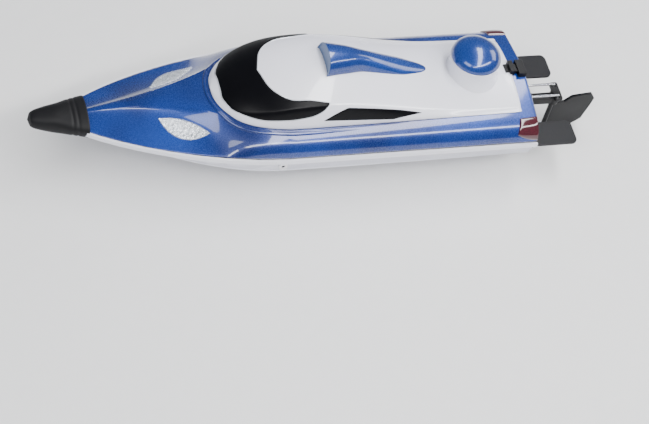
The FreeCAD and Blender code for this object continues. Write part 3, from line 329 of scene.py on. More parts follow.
class Finishes(Enum):
    """Every finish on the boat."""

    DECK_BLUE = CandyPaint("deck_blue_paint", "deck_blue", (0.0, 0.042, 0.29), 0.2, 0.3, 1.0)
    DOME_BLUE = CandyPaint(
        "dome_blue_paint", "deck_blue", (0.0, 0.045, 0.27), 0.22, 0.3, 1.0, deep=(0.0, 0.022, 0.16))
    SCOOP_FACE = Finish("scoop_face_paint", "deck_blue", (0.10, 0.17, 0.32), 0.35, 0.3, 0.4, 1.2, 0.03)
    CABIN_WHITE = PearlPaint("cabin_pearl", "cabin_white", (0.84, 0.84, 0.89), 0.22, 0.0, 0.8)
    HULL_WHITE = PearlPaint("hull_pearl", "hull_white", (0.82, 0.82, 0.85), 0.26, 0.0, 0.6)
    WINDOW_BLACK = Finish(
        "window_gloss", "window_black", (0.002, 0.002, 0.003), 0.3, 0.0, 0.0, 4.0, 0.01, 0.2, 0.12)
    TRIM_BRIGHT = Finish("screen_bevel", "cabin_white", (0.62, 0.64, 0.68), 0.2, 0.3, 0.6)
    LENS = ClearPlastic("headlight_clear", "clear_lens", (0.82, 0.88, 0.95), 0.05, 0.0, 1.0)
    FOIL = CrumpledFoil("headlight_foil", "silver_reflector", (0.82, 0.85, 0.9), 0.16, 1.0)
    TAIL_RED = Finish(
        "tail_lamp_red", "dark_red_lens", (0.055, 0.004, 0.010), 0.12, 0.0, 1.0, 3.0, 0.02, 0.25)
    RUBBER = Finish(
        "bumper_rubber", "black_rubber", (0.006, 0.006, 0.007), 0.5, 0.0, 0.0, 0.6, 0.05, 0.3, 0.2)
    BLACK = Finish(
        "satin_black", "black_plastic", (0.006, 0.006, 0.007), 0.34, 0.0, 0.0, 0.7, 0.03, 0.25, 0.25)
    TAB_GREY = Finish(
        "tab_grey_satin", "tab_grey", (0.008, 0.008, 0.010), 0.34, 0.0, 0.0, 0.7, 0.03, 0.2, 0.25)
    INNER = Finish("inner_moulding", "inner_plastic", (0.70, 0.70, 0.71), 0.45, 0.0, 0.0, 1.0, 0.03)
    STEEL = TurnedMetal("bright_steel", "bright_steel", (0.62, 0.62, 0.64), 0.26, 1.0)
    BRASS = TurnedMetal("drawn_brass", "brass_tube", (0.62, 0.43, 0.16), 0.3, 1.0)
    MOTOR = TurnedMetal("motor_can_plate", "motor_steel", (0.42, 0.43, 0.45), 0.34, 1.0)
    ALUMINIUM = TurnedMetal("jacket_alloy", "jacket_aluminium", (0.66, 0.67, 0.7), 0.36, 1.0)
    WRAP = Finish("battery_shrink_wrap", "battery_wrap", (0.01, 0.03, 0.2), 0.25, 0.0, 0.5, 6.0, 0.12, 0.2)
    STRAP = Webbing("strap_weave", "strap_fabric", (0.02, 0.02, 0.022), 0.85)
    CASE = Finish("electronics_case", "board_case", (0.03, 0.03, 0.032), 0.5, 0.0, 0.0, 0.5, 0.03, 0.2)
    FOAM = Finish("float_foam", "foam", (0.74, 0.74, 0.71), 0.9, 0.0, 0.0, 1.6, 0.25, 0.1)
    SILICONE = Finish("hose_silicone", "hose_silicone", (0.60, 0.64, 0.68), 0.4, 0.0, 0.2, 2.0, 0.02)
    FLOOR = Finish("floor_pale", "", (0.78, 0.78, 0.78), 0.6, 0.0, 0.0, 30.0, 0.02, 0.02)


# ---- mesh tools ------------------------------------------------------------------------------------


def mesh_piece(
    name: str, finish: Finishes, body: str, points: np.ndarray, faces: np.ndarray
) -> bpy.types.Object:
    """Make a piece from points in millimetres and quads, smooth, with doubles merged and faces outwards.

    Args:
        name: The piece's name.
        finish: What it is dressed with.
        body: The CAD body it rides on.
        points: Array of shape (n, 3).
        faces: Array of shape (m, 4) of point numbers.

    Returns:
        The object, at the origin.
    """
    mesh = bpy.data.meshes.new(name)
    mesh.from_pydata((points * MM).tolist(), [], faces.tolist())
    work = bmesh.new()
    work.from_mesh(mesh)
    bmesh.ops.remove_doubles(work, verts=work.verts, dist=MERGE_M)
    bmesh.ops.dissolve_degenerate(work, edges=work.edges, dist=1e-7)
    bmesh.ops.recalc_face_normals(work, faces=work.faces)
    is_open = any(edge.is_boundary for edge in work.edges)
    if is_open and sum(face.normal.z * face.calc_area() for face in work.faces) < 0:
        bmesh.ops.reverse_faces(work, faces=work.faces)
    work.to_mesh(mesh)
    work.free()
    mesh.shade_smooth()
    mesh.set_sharp_from_angle(angle=math.radians(SHARP_DEGREES))
    mesh.materials.append(finish.value.material())
    obj = bpy.data.objects.new(name, mesh)
    bpy.context.scene.collection.objects.link(obj)
    if finish.value.slot:
        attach(obj, body)
        log.info("made %s on %s", name, body)
    return obj


def grid_faces(rows: int, columns: int, wrap_rows: bool = False, wrap_columns: bool = False) -> np.ndarray:
    """Quads of a grid of points, each joining a point with its right, lower right and lower neighbours.

    Args:
        rows: Points down the grid.
        columns: Points across it.
        wrap_rows: Whether the last row joins the first.
        wrap_columns: Whether the last column joins the first.

    Returns:
        Array of shape (quads, 4).
    """
    down = np.arange(rows if wrap_rows else rows - 1)[:, None]
    across = np.arange(columns if wrap_columns else columns - 1)[None, :]
    below, right = (down + 1) % rows, (across + 1) % columns
    upper, lower = down * columns, below * columns
    quad = [upper + across, upper + right, lower + right, lower + across]
    return np.stack(np.broadcast_arrays(*quad), -1).reshape(-1, 4)


def grid_piece(
    name: str, finish: Finishes, body: str, points: np.ndarray, wrap_rows: bool = False,
    wrap_columns: bool = False
) -> bpy.types.Object:
    """Make a piece from a whole grid of points.

    Args:
        name: The piece's name.
        finish: What it is dressed with.
        body: The CAD body it rides on.
        points: Array of shape (rows, columns, 3) in millimetres.
        wrap_rows: Whether the last row joins the first.
        wrap_columns: Whether the last column joins the first.

    Returns:
        The object, at the origin.
    """
    faces = grid_faces(*points.shape[:2], wrap_rows=wrap_rows, wrap_columns=wrap_columns)
    return mesh_piece(name, finish, body, points.reshape(-1, 3), faces)


def thicken(obj: bpy.types.Object, wall_mm: float) -> bpy.types.Object:
    """Give an open skin a wall on its inner side."""
    solid = obj.modifiers.new("wall", "SOLIDIFY")
    solid.thickness = wall_mm * MM
    solid.offset = -1.0
    solid.use_even_offset = False
    return obj


def through(x: np.ndarray, knots: list[float], values: list[float]) -> np.ndarray:
    """Smooth curve through a few points that never overshoots them: cubic pieces with limited slopes.

    Args:
        x: Where to read the curve.
        knots: Rising abscissas.
        values: Ordinates at the knots.

    Returns:
        The curve at x, held beyond both ends.
    """
    at, level = np.asarray(knots, float), np.asarray(values, float)
    width, rise = np.diff(at), np.diff(level)
    slope = rise / width
    product, total = slope[:-1] * slope[1:], slope[:-1] + slope[1:]
    mean = np.where(product > 0, 2 * product / (total + TINY), 0.0)
    tangent = np.concatenate([slope[:1], mean, slope[-1:]])
    x = np.clip(x, at[0], at[-1])
    k = np.clip(np.searchsorted(at, x) - 1, 0, len(width) - 1)
    q = (x - at[k]) / width[k]
    bend = (3 - 2 * q) * q * q
    return (level[k] * (1 - bend) + level[k + 1] * bend
            + width[k] * q * (1 - q) * (tangent[k] * (1 - q) - tangent[k + 1] * q))


def share(x: np.ndarray, start: float, end: float) -> np.ndarray:
    """Nought at start, one at end, held beyond both."""
    return np.clip((x - start) / (end - start), 0.0, 1.0)


def bezier(q: np.ndarray, *controls: np.ndarray) -> np.ndarray:
    """Cubic Bezier of four controls: weights (1-q)^3, 3q(1-q)^2, 3q^2(1-q), q^3."""
    first, second, third, last = controls
    return (1 - q) ** 3 * first + 3 * q * (1 - q) ** 2 * second + 3 * q * q * (1 - q) * third + q**3 * last


def corners(node: str) -> tuple[np.ndarray, np.ndarray]:
    """Lowest and highest corner of a CAD node in millimetres."""
    low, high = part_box(node)
    return np.array(low) / MM, np.array(high) / MM


# ---- lines of the boat -----------------------------------------------------------------------------


@dataclass
class DeckLines:
    """The deck's surface: a crowned top inside the shoulder line and a side that falls to the edge.

    A point has a station x and a share s across: nought on the centreline, the shoulder at 0.5, the edge
    at one.
    """

    transom: float = corners("lower_hull")[0][0]
    stem: float = corners("hull_seal")[1][0]
    base: float = corners("hull_seal")[1][2]
    beam: float = 2 * corners("hull_seal")[1][1]
    crown: float = 22.0
    stern_crown: float = 22.5
    shoulder: float = 42.8
    nose: float = 3.0
    turn: float = 0.5

    def station(self, part: float) -> float:
        """Station at a share of the hull's length from the transom."""
        return self.transom + part * (self.stem - self.transom)

    def edge(self, x: np.ndarray) -> np.ndarray:
        """Half breadth: parallel, then (1 - c^1.7)^0.8 closing on a small nose."""
        closing = share(x, self.station(0.55), self.stem)
        return self.nose + (self.beam / 2 - self.nose) * (1 - closing**1.7) ** 0.8

    def ridge(self, x: np.ndarray) -> np.ndarray:
        """Height of the centreline over the deck's base."""
        fore = self.crown * (1 - share(x, self.station(0.6), self.stem) ** 1.9)
        aft = (self.stern_crown - self.crown) * (1 - share(x, self.transom, self.station(0.3)))
        return np.maximum(2.0, fore + aft)

    def shoulder_line(self, x: np.ndarray) -> tuple[np.ndarray, np.ndarray]:
        """Half breadth and height of the shoulder, which sweeps in to the bow as a falling exponential."""
        sweep = np.exp(-((share(x, self.station(0.545), self.station(1.1)) * 2.95) ** 1.6))
        breadth = np.minimum(np.maximum(1.4, self.shoulder * sweep), 0.86 * self.edge(x))
        level = 0.7 + 0.23 * share(x, self.station(0.545), self.station(0.69))
        return breadth, self.ridge(x) * level

    def point(self, x: np.ndarray, s: np.ndarray, grow: float | np.ndarray = 0.0) -> np.ndarray:
        """Point of the surface: a power curve over the top, a Bezier down the side.

        Args:
            x: Stations.
            s: Shares across, negative to starboard.
            grow: How far outwards the surface is moved.

        Returns:
            Array of points with a last axis of three.
        """
        x, s, grow = np.broadcast_arrays(np.asarray(x, float), np.asarray(s, float), np.asarray(grow, float))
        size = np.abs(s)
        ridge, edge = self.ridge(x), self.edge(x)
        breadth, level = self.shoulder_line(x)
        q = np.clip(size / self.turn, 0, 1)
        top_y, top_z = breadth * q, ridge - (ridge - level) * q**1.4
        v = np.clip((size - self.turn) / (1 - self.turn), 0, 1)
        fall = 1.4 * (ridge - level) / breadth
        wide = edge - breadth
        bow = share(x, self.station(0.58), self.station(0.76))
        bow = bow * bow * (3 - 2 * bow)
        second_y = breadth + wide * (0.50 - 0.38 * bow)
        second_z = level * (1 - 0.42 * bow) - 0.5 * wide * fall * (1 - bow)
        third_y = breadth + wide * (0.99 - 0.39 * bow)
        third_z = level * (0.52 - 0.40 * bow)
        side_y = bezier(v, breadth, second_y, third_y, edge)
        side_z = bezier(v, level, second_z, third_z, 0.0 * level)
        y, z = np.where(v > 0, side_y, top_y), np.where(v > 0, side_z, top_z)
        lean = np.clip(size - 0.3, 0, 0.7) / 0.7
        y, z = y + grow * lean, z + grow * np.sqrt(1 - lean**2 * 0.98)
        return np.stack([x, np.sign(s) * np.maximum(y, 0.0), self.base + z], -1)

    def share_at(self, x: np.ndarray, y: np.ndarray) -> np.ndarray:
        """Share across whose point has half breadth y, read from a table along each section."""
        x, y = np.broadcast_arrays(np.asarray(x, float), np.asarray(y, float))
        table = np.linspace(0, 1, 121)
        across = self.point(x[..., None], table)[..., 1]
        return match(across, table, y)

    def height_at(self, x: np.ndarray, y: np.ndarray) -> np.ndarray:
        """Height of the deck over a point of the plan."""
        return self.point(x, self.share_at(x, y))[..., 2]


def match(rising: np.ndarray, table: np.ndarray, wanted: np.ndarray) -> np.ndarray:
    """Where a curve that rises along the last axis reaches a value, by straight parts between samples."""
    last = rising.shape[-1] - 1
    k = np.clip((rising < wanted[..., None]).sum(-1), 1, last)
    low = np.take_along_axis(rising, (k - 1)[..., None], -1)[..., 0]
    high = np.take_along_axis(rising, k[..., None], -1)[..., 0]
    part = np.clip((wanted - low) / np.maximum(high - low, 1e-9), 0, 1)
    return table[k - 1] + part * (table[k] - table[k - 1])


@dataclass
class CabinLines:
    """The cabin's surface: a crowned roof, a soft edge and a side that stands on the deck."""

    deck: DeckLines
    aft: float = corners("cabin_lid")[0][0]
    front: float = corners("cabin_lid")[1][0]
    width: float = 84.0
    roof: float = 47.5
    drop: float = 23.0
    gap: float = 0.5
    corner: float = 0.6

    def behind(self, distance: float | np.ndarray) -> float | np.ndarray:
        """Station so far behind the front lip."""
        return self.front - distance

    def half(self, x: np.ndarray) -> np.ndarray:
        """Half breadth: nearly parallel, then the root of 1 - c^3.2 round the front."""
        length = self.front - self.aft
        closing = share(x, self.aft + 0.7 * length, self.front)
        taper = 2.5 * (1 - share(x, self.aft, self.aft + 0.7 * length))
        return np.maximum(0.6, (self.width / 2 - taper) * np.sqrt(np.maximum(0, 1 - closing**3.2)))

    def top(self, x: np.ndarray) -> np.ndarray:
        """Height of the roof's centreline over the gunwale: screen, level roof, half a cosine aft."""
        crest = self.aft + 0.655 * (self.front - self.aft)
        lip = float(self.deck.ridge(np.array(self.front))) + 1.8
        closing = share(x, crest, self.front)
        falling = (1 - np.cos(math.pi * (1 - share(x, self.aft, crest)) ** 0.75)) / 2
        return lip + (self.roof - lip) * (1 - closing**2.6) - self.drop * falling

    def crown(self, x: np.ndarray) -> np.ndarray:
        """How far the roof's edge lies below its centreline; flatter towards the stern."""
        return (0.143 + 0.09 * share(x, self.aft, self.aft + 0.4 * (self.front - self.aft))) * self.half(x)

    def point(self, x: np.ndarray, s: np.ndarray, grow: float | np.ndarray = 0.0) -> np.ndarray:
        """Point of the surface: roof as a power curve up to the share 0.6, then a Bezier down to the deck.

        Args:
            x: Stations.
            s: Shares across, from the centreline to the base, negative to starboard.
            grow: How far outwards the surface is moved.

        Returns:
            Array of points with a last axis of three.
        """
        x, s, grow = np.broadcast_arrays(np.asarray(x, float), np.asarray(s, float), np.asarray(grow, float))
        size = np.abs(s)
        half, top, crown = self.half(x), self.top(x), self.crown(x)
        q = np.clip(size / self.corner, 0, 1)
        edge_y, edge_z = 0.885 * half, top - crown
        roof_y, roof_z = edge_y * q, top - crown * q**2.3
        foot = np.minimum(self.deck.height_at(x, half) - self.deck.base + self.gap, top)
        v = np.clip((size - self.corner) / (1 - self.corner), 0, 1)
        edge_z = np.maximum(edge_z, foot)
        roof_z = np.maximum(roof_z, foot)
        tall = edge_z - foot
        side_y = bezier(v, edge_y, edge_y + 0.075 * half, half - 0.02 * tall, half)
        side_z = bezier(v, edge_z, edge_z - 0.06 * half, foot + 0.4 * tall, foot)
        y, z = np.where(v > 0, side_y, roof_y), np.where(v > 0, side_z, roof_z)
        lean = np.clip((size - 0.25) / 0.45, 0, 1)
        y, z = y + grow * lean, z + grow * np.sqrt(np.maximum(0, 1 - lean**2 * 0.9))
        return np.stack([x, np.sign(s) * np.maximum(y, 0.0), self.deck.base + z], -1)

    def share_at_height(self, x: np.ndarray, z: np.ndarray) -> np.ndarray:
        """Share across where the surface is z over the gunwale, from a table down each section."""
        table = np.linspace(0, 1, 161)
        fall = -self.point(np.asarray(x, float)[..., None], table)[..., 2]
        return match(fall, table, -(np.asarray(z, float) + self.deck.base))


@dataclass
class Patch:
    """A thin moulded panel on a surface, between two edge curves, with rounded borders that dip under it."""

    surface: DeckLines | CabinLines
    thickness: float = 0.5
    border: float = 0.07
    dome: float = 0.0

    def points(self, first: np.ndarray, second: np.ndarray, across: int = 25) -> np.ndarray:
        """Grid between two edges given as stations and shares.

        The lift over the surface is the thickness times a rounded ramp at all four borders, plus a dome:
        a parabola across times the root of a parabola along.

        Args:
            first: Array (n, 2) of station and share along one edge.
            second: The other edge, the same way.
            across: Points from edge to edge.

        Returns:
            Array (n, across, 3).
        """
        w = (1 - np.cos(np.linspace(0, math.pi, across)))[None, :, None] / 2
        plan = first[:, None, :] * (1 - w) + second[:, None, :] * w
        u = np.linspace(0, 1, len(first))[:, None]
        w = w[..., 0]
        inset = np.minimum(np.minimum(w, 1 - w), np.minimum(u, 1 - u) * 2.2) / self.border
        ramp = np.sqrt(1 - (1 - np.clip(inset, 0, 1)) ** 2)
        lift = (self.thickness + 0.5) * ramp - 0.5 + self.dome * 4 * w * (1 - w) * np.sqrt(4 * u * (1 - u))
        return self.surface.point(plan[..., 0], plan[..., 1], lift)


# ---- hull and deck ---------------------------------------------------------------------------------


@dataclass
class DeckSkin:
    """Blue deck shell with its opening under the cabin, the well below it, and a raised bead."""

    lines: DeckLines
    cabin: CabinLines
    wall: float = 1.7
    well_half_width: float = 31.0
    well_half_length: float = 109.0
    well_shift: float = -2.0
    well_depth: float = 8.0
    rounding: float = 1.6

    def well(self) -> tuple[float, float]:
        """First and last station of the well, a fixed way inside the hatch cover's surround."""
        low, high = corners("hatch_cover")
        middle = (low[0] + high[0]) / 2 + self.well_shift
        return middle - self.well_half_length, middle + self.well_half_length

    def shell(self) -> bpy.types.Object:
        """The outer skin: a grid of stations and shares, without the quads over the well."""
        start, end = self.well()
        line = self.lines
        turn = np.linspace(0, math.pi / 2, 5)
        fore = line.station(1.0) - (1 - np.linspace(0, 1, 70)) ** 1.3 * (line.stem - end)
        stations = np.concatenate([
            [line.transom], line.transom + self.rounding * (1 - np.cos(turn)),
            np.linspace(line.transom + self.rounding + 1, start, 8), np.linspace(start, end, 70)[1:],
            fore[1:], [line.stem]])
        grow = np.zeros(len(stations))
        grow[: len(turn) + 1] = np.concatenate([[-self.rounding], -self.rounding * (1 - np.sin(turn))])
        inner = line.turn * np.minimum(1.0, self.well_half_width / line.shoulder_line(stations)[0])
        last = line.turn * self.well_half_width / line.shoulder_line(np.array(end))[0]
        inner = np.where(stations > end, last, inner)
        top = np.linspace(0, 1, 12)[None, :] * inner[:, None]
        shelf = inner[:, None] + (line.turn - inner[:, None]) * np.linspace(0, 1, 7)[None, 1:]
        side = line.turn + (1 - line.turn) * np.linspace(0, 1, 26)[None, 1:] + 0 * inner[:, None]
        half = np.concatenate([top, shelf, side], 1)
        s = np.concatenate([-half[:, :0:-1], half], 1)
        points = line.point(stations[:, None], s, grow[:, None])
        points[[0, -1], :, 2] = line.base
        rows, columns = s.shape
        faces = grid_faces(rows, columns)
        row, column = faces[:, 0] // columns, faces[:, 0] % columns
        over_well = (stations[row] >= start - 1e-6) & (stations[row] < end - 1e-6)
        over_well &= np.abs(column + 0.5 - (columns - 1) / 2) < 11
        piece = mesh_piece("deck_skin", Finishes.DECK_BLUE, "hull", points.reshape(-1, 3), faces[~over_well])
        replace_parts(piece, "deck_shell")
        return thicken(piece, self.wall)

    def tub(self) -> bpy.types.Object:
        """The well: a rounded outline carried along a profile of insets and heights, closed on itself.

        The outline is a superellipse of power twelve. The first row follows the deck from below.
        """
        start, end = self.well()
        hatch_low, hatch_high = corners("hatch_seal")
        seal_thickness = 0.8
        floor = self.lines.base - seal_thickness + self.well_depth
        rim = hatch_low[2] - 0.5
        centre = (start + end) / 2
        hatch = (hatch_low[0] + hatch_high[0]) / 2
        outer = np.array([(end - start) / 2, self.well_half_width])
        opening = np.array([(hatch_high[0] - hatch_low[0]) / 2, hatch_high[1]])
        profile = [
            (centre, outer + 2.5, None), (centre, outer, None), (centre, outer, floor + 3),
            (centre, outer - 0.9, floor + 0.9), (centre, outer - 3, floor), (hatch, opening + 1, floor),
            (hatch, opening + 0.3, floor + 0.4),
            (hatch, opening, rim), (hatch, opening - 1.8, rim), (hatch, opening - 1.8, floor - 2.2),
            (hatch, opening + 1, floor - 2.2), (centre, outer + 1, floor - 2.2),
            (centre, outer + 2.0, floor + 2)]
        angle = np.linspace(0, 2 * math.pi, 160, endpoint=False)
        spin = np.stack([np.cos(angle), np.sin(angle)], -1)
        outline = spin / ((np.abs(spin) ** 12).sum(-1, keepdims=True) ** (1 / 12))
        rows = []
        for middle, reach, level in profile:
            plan = outline * reach + np.array([middle, 0.0])
            under = self.lines.height_at(plan[:, 0], np.abs(plan[:, 1])) - self.wall - 0.05
            rows.append(np.column_stack([plan, under if level is None else np.minimum(level, under)]))
        return grid_piece("deck_well", Finishes.DECK_BLUE, "hull", np.stack(rows), True, True)

    def bead(self) -> bpy.types.Object:
        """Raised ring on the deck round the cabin's front: a half-round profile along the cabin's outline."""
        turn = np.linspace(-1, 1, 180)
        x = self.cabin.behind(118 * np.abs(turn) ** 1.6)
        y = np.sign(turn) * self.cabin.half(x)
        path = np.stack([x, y], -1)
        tangent = np.gradient(path, axis=0)
        tangent /= np.linalg.norm(tangent, axis=1, keepdims=True)
        normal = np.stack([-tangent[:, 1], tangent[:, 0]], -1)
        normal *= np.sign((normal * (path - np.array([self.cabin.behind(90), 0.0]))).sum(-1, keepdims=True))
        fade = np.sin(math.pi * np.clip((1 - np.abs(turn)) * 3, 0, 1) / 2)
        around = np.linspace(0, 2 * math.pi, 16, endpoint=False)
        offset = 3.4 + 1.5 * np.cos(around)[None, :] * fade[:, None]
        plan = path[:, None, :] + normal[:, None, :] * offset[..., None]
        level = self.lines.height_at(plan[..., 0], np.abs(plan[..., 1]))
        level = level + 1.15 * np.sin(around)[None, :] * fade[:, None] - 0.15
        points = np.concatenate([plan, level[..., None]], -1)
        return grid_piece("deck_bead", Finishes.DECK_BLUE, "hull", points, wrap_columns=True)

    def build(self) -> None:
        """Make the deck's pieces."""
        self.shell()
        self.tub()
        self.bead()


@dataclass
class Lamps:
    """Almond headlights with foil under clear lenses, and wrap-round lamps at the stern corners."""

    lines: DeckLines
    tip: tuple[float, float] = (0.806, 15.5)
    heel: tuple[float, float] = (0.706, 33.6)
    inner: float = 4.5
    outer: float = 9.5

    def almond(self, side: int, inset: float) -> tuple[np.ndarray, np.ndarray]:
        """Both edges of an almond: parabolic bulges either side of the line from tip to heel.

        Args:
            side: One for port, minus one for starboard.
            inset: How far the outline is drawn in.

        Returns:
            Inner and outer edge as stations and shares.
        """
        u = (1 - np.cos(np.linspace(0, math.pi, 41))) / 2
        tip = np.array([self.lines.station(self.tip[0]) - inset, self.tip[1]])
        heel = np.array([self.lines.station(self.heel[0]) + inset, self.heel[1]])
        along = (heel - tip) / np.linalg.norm(heel - tip)
        across = np.array([along[1], -along[0]])
        across *= np.sign(across[1])
        middle = tip + (heel - tip) * u[:, None]
        edges = []
        for bulge in (-(self.inner - inset), self.outer - inset):
            plan = middle + across * (bulge * 4 * u * (1 - u))[:, None]
            edges.append(np.stack([plan[:, 0], side * self.lines.share_at(plan[:, 0], plan[:, 1])], -1))
        return edges[0], edges[1]

    def headlight(self, side: int, hand: str) -> None:
        """Foil and lens on one side."""
        foil = Patch(self.lines, 0.12, 0.05).points(*self.almond(side, 0.6))
        dish = grid_piece(f"headlight_foil_{hand}", Finishes.FOIL, "hull", foil)
        if side > 0:
            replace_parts(dish, "headlight_reflectors")
        lens = Patch(self.lines, 0.7, 0.08, 1.3).points(*self.almond(side, 0.0))
        cover = grid_piece(f"headlight_cover_{hand}", Finishes.LENS, "hull", lens)
        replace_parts(cover, f"headlight_lens_{hand}")

    def tail(self, side: int, hand: str) -> None:
        """Dark cover over the corner of the deck, its front edge slanting."""
        u = np.linspace(0, 1, 31)
        x = self.lines.transom + 0.4 + u * 15.5
        first = self.lines.share_at(x, 0.76 * self.lines.beam / 2 + u * 1.2)
        second = 0.965 - 0.12 * u**2
        edges = [np.stack([x + 2.6 * u * k, side * part], -1) for k, part in ((0, first), (1, second))]
        points = Patch(self.lines, 0.8, 0.12, 0.9).points(*edges)
        piece = grid_piece(f"tail_cover_{hand}", Finishes.TAIL_RED, "hull", points)
        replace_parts(piece, f"tail_lamp_{hand}")

    def build(self) -> None:
        """Make the lamps of both sides."""
        for side, hand in SIDES:
            self.headlight(side, hand)
            self.tail(side, hand)


@dataclass
class BowBumper:
    """Rubber nose: ellipses along the boat with two shallow grooves, a rolled rear rim and a closed tip."""

    lines: DeckLines
    reach: float = corners("bow_bumper")[1][0] - corners("hull_seal")[1][0]
    rear: float = corners("bow_bumper")[0][0]

    def build(self) -> bpy.types.Object:
        """Make the bumper: half breadth, top and bottom are smooth curves through a few sections."""
        stem = self.lines.stem
        knots = [self.rear, stem - 10, stem + 2, *(stem + part * self.reach for part in (0.6, 0.9, 1.0))]
        low, high = corners("bow_bumper")
        axis = self.lines.base - 1.8
        nose = self.reach * np.sin(np.linspace(0, 1, 40) * math.pi / 2)
        x = np.concatenate([np.linspace(self.rear, stem, 30), stem + nose[1:]])
        breadth = through(x, knots, [high[1], high[1] - 2.6, 12.0, 8.8, 5.6, 0.0])
        upper = through(x, knots, [high[2] - axis, high[2] - axis - 0.4, 9.0, 7.2, 5.2, 0.0])
        lower = through(x, knots, [axis - low[2], axis - low[2] - 1.5, 10.5, 7.8, 5.4, 0.0])
        groove = sum(0.45 * np.exp(-(((x - stem - at) / 0.9) ** 2)) for at in (-13.0, -9.0))
        angle = np.linspace(0, 2 * math.pi, 72, endpoint=False)
        c, s = np.cos(angle), np.sin(angle)
        power = 0.86
        y = np.sign(c) * np.abs(c) ** power * (breadth - groove)[:, None]
        rise = np.where(s > 0, (upper - groove)[:, None], (lower - groove)[:, None])
        z = axis + np.sign(s) * np.abs(s) ** power * rise
        points = np.stack([np.broadcast_to(x[:, None], y.shape), y, z], -1)
        centre = np.array([self.rear, 0, axis])
        rim = [centre + (points[0] - centre) * scale + np.array([back, 0, 0])
               for scale, back in ((0.0, 4.0), (0.84, 4.0), (0.87, 1.0), (0.93, 0.0), (0.98, 0.15))]
        points = np.concatenate([np.stack(rim), points[1:]])
        piece = grid_piece("bumper_skin", Finishes.RUBBER, "hull", points, wrap_columns=True)
        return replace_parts(piece, "bow_bumper")


@dataclass
class SprayRails:
    """Moulded strakes on the hull's bottom: a small wedge carried along the hull, fading at both ends."""

    lines: DeckLines
    keel: float = corners("lower_hull")[0][2]
    depth: float = 38.0

    def build(self) -> None:
        """Make two strakes a side at fixed shares of the bottom between keel and chine."""
        for side, hand in SIDES:
            for part, label in ((0.52, "inner"), (0.97, "outer")):
                x = np.linspace(self.lines.transom + 3, self.lines.station(0.86), 90)
                rise = share(x, self.lines.station(0.5), self.lines.stem) ** 2.4
                low = self.keel + 0.94 * self.depth * rise
                closing = share(x, self.lines.station(0.55), self.lines.stem) ** 2
                chine_y = self.lines.edge(x) * (0.87 - 0.3 * closing)
                chine_z = low + (self.keel + self.depth - low) * (0.42 + 0.2 * closing)
                fade = np.sqrt(np.sin(math.pi * np.linspace(0.03, 0.97, len(x))))
                wedge = np.array([(-2.0, 0.6), (0.9, -1.0), (1.6, -0.8), (1.6, 0.8)])
                y = chine_y[:, None] * part + wedge[None, :, 0] * fade[:, None]
                z = low[:, None] + (chine_z - low)[:, None] * part + wedge[None, :, 1] * fade[:, None]
                points = np.stack([np.broadcast_to(x[:, None], y.shape), side * y, z], -1)
                name = f"spray_rail_{label}_{hand}"
                grid_piece(name, Finishes.HULL_WHITE, "hull", points, wrap_columns=True)


# ---- cabin -----------------------------------------------------------------------------------------


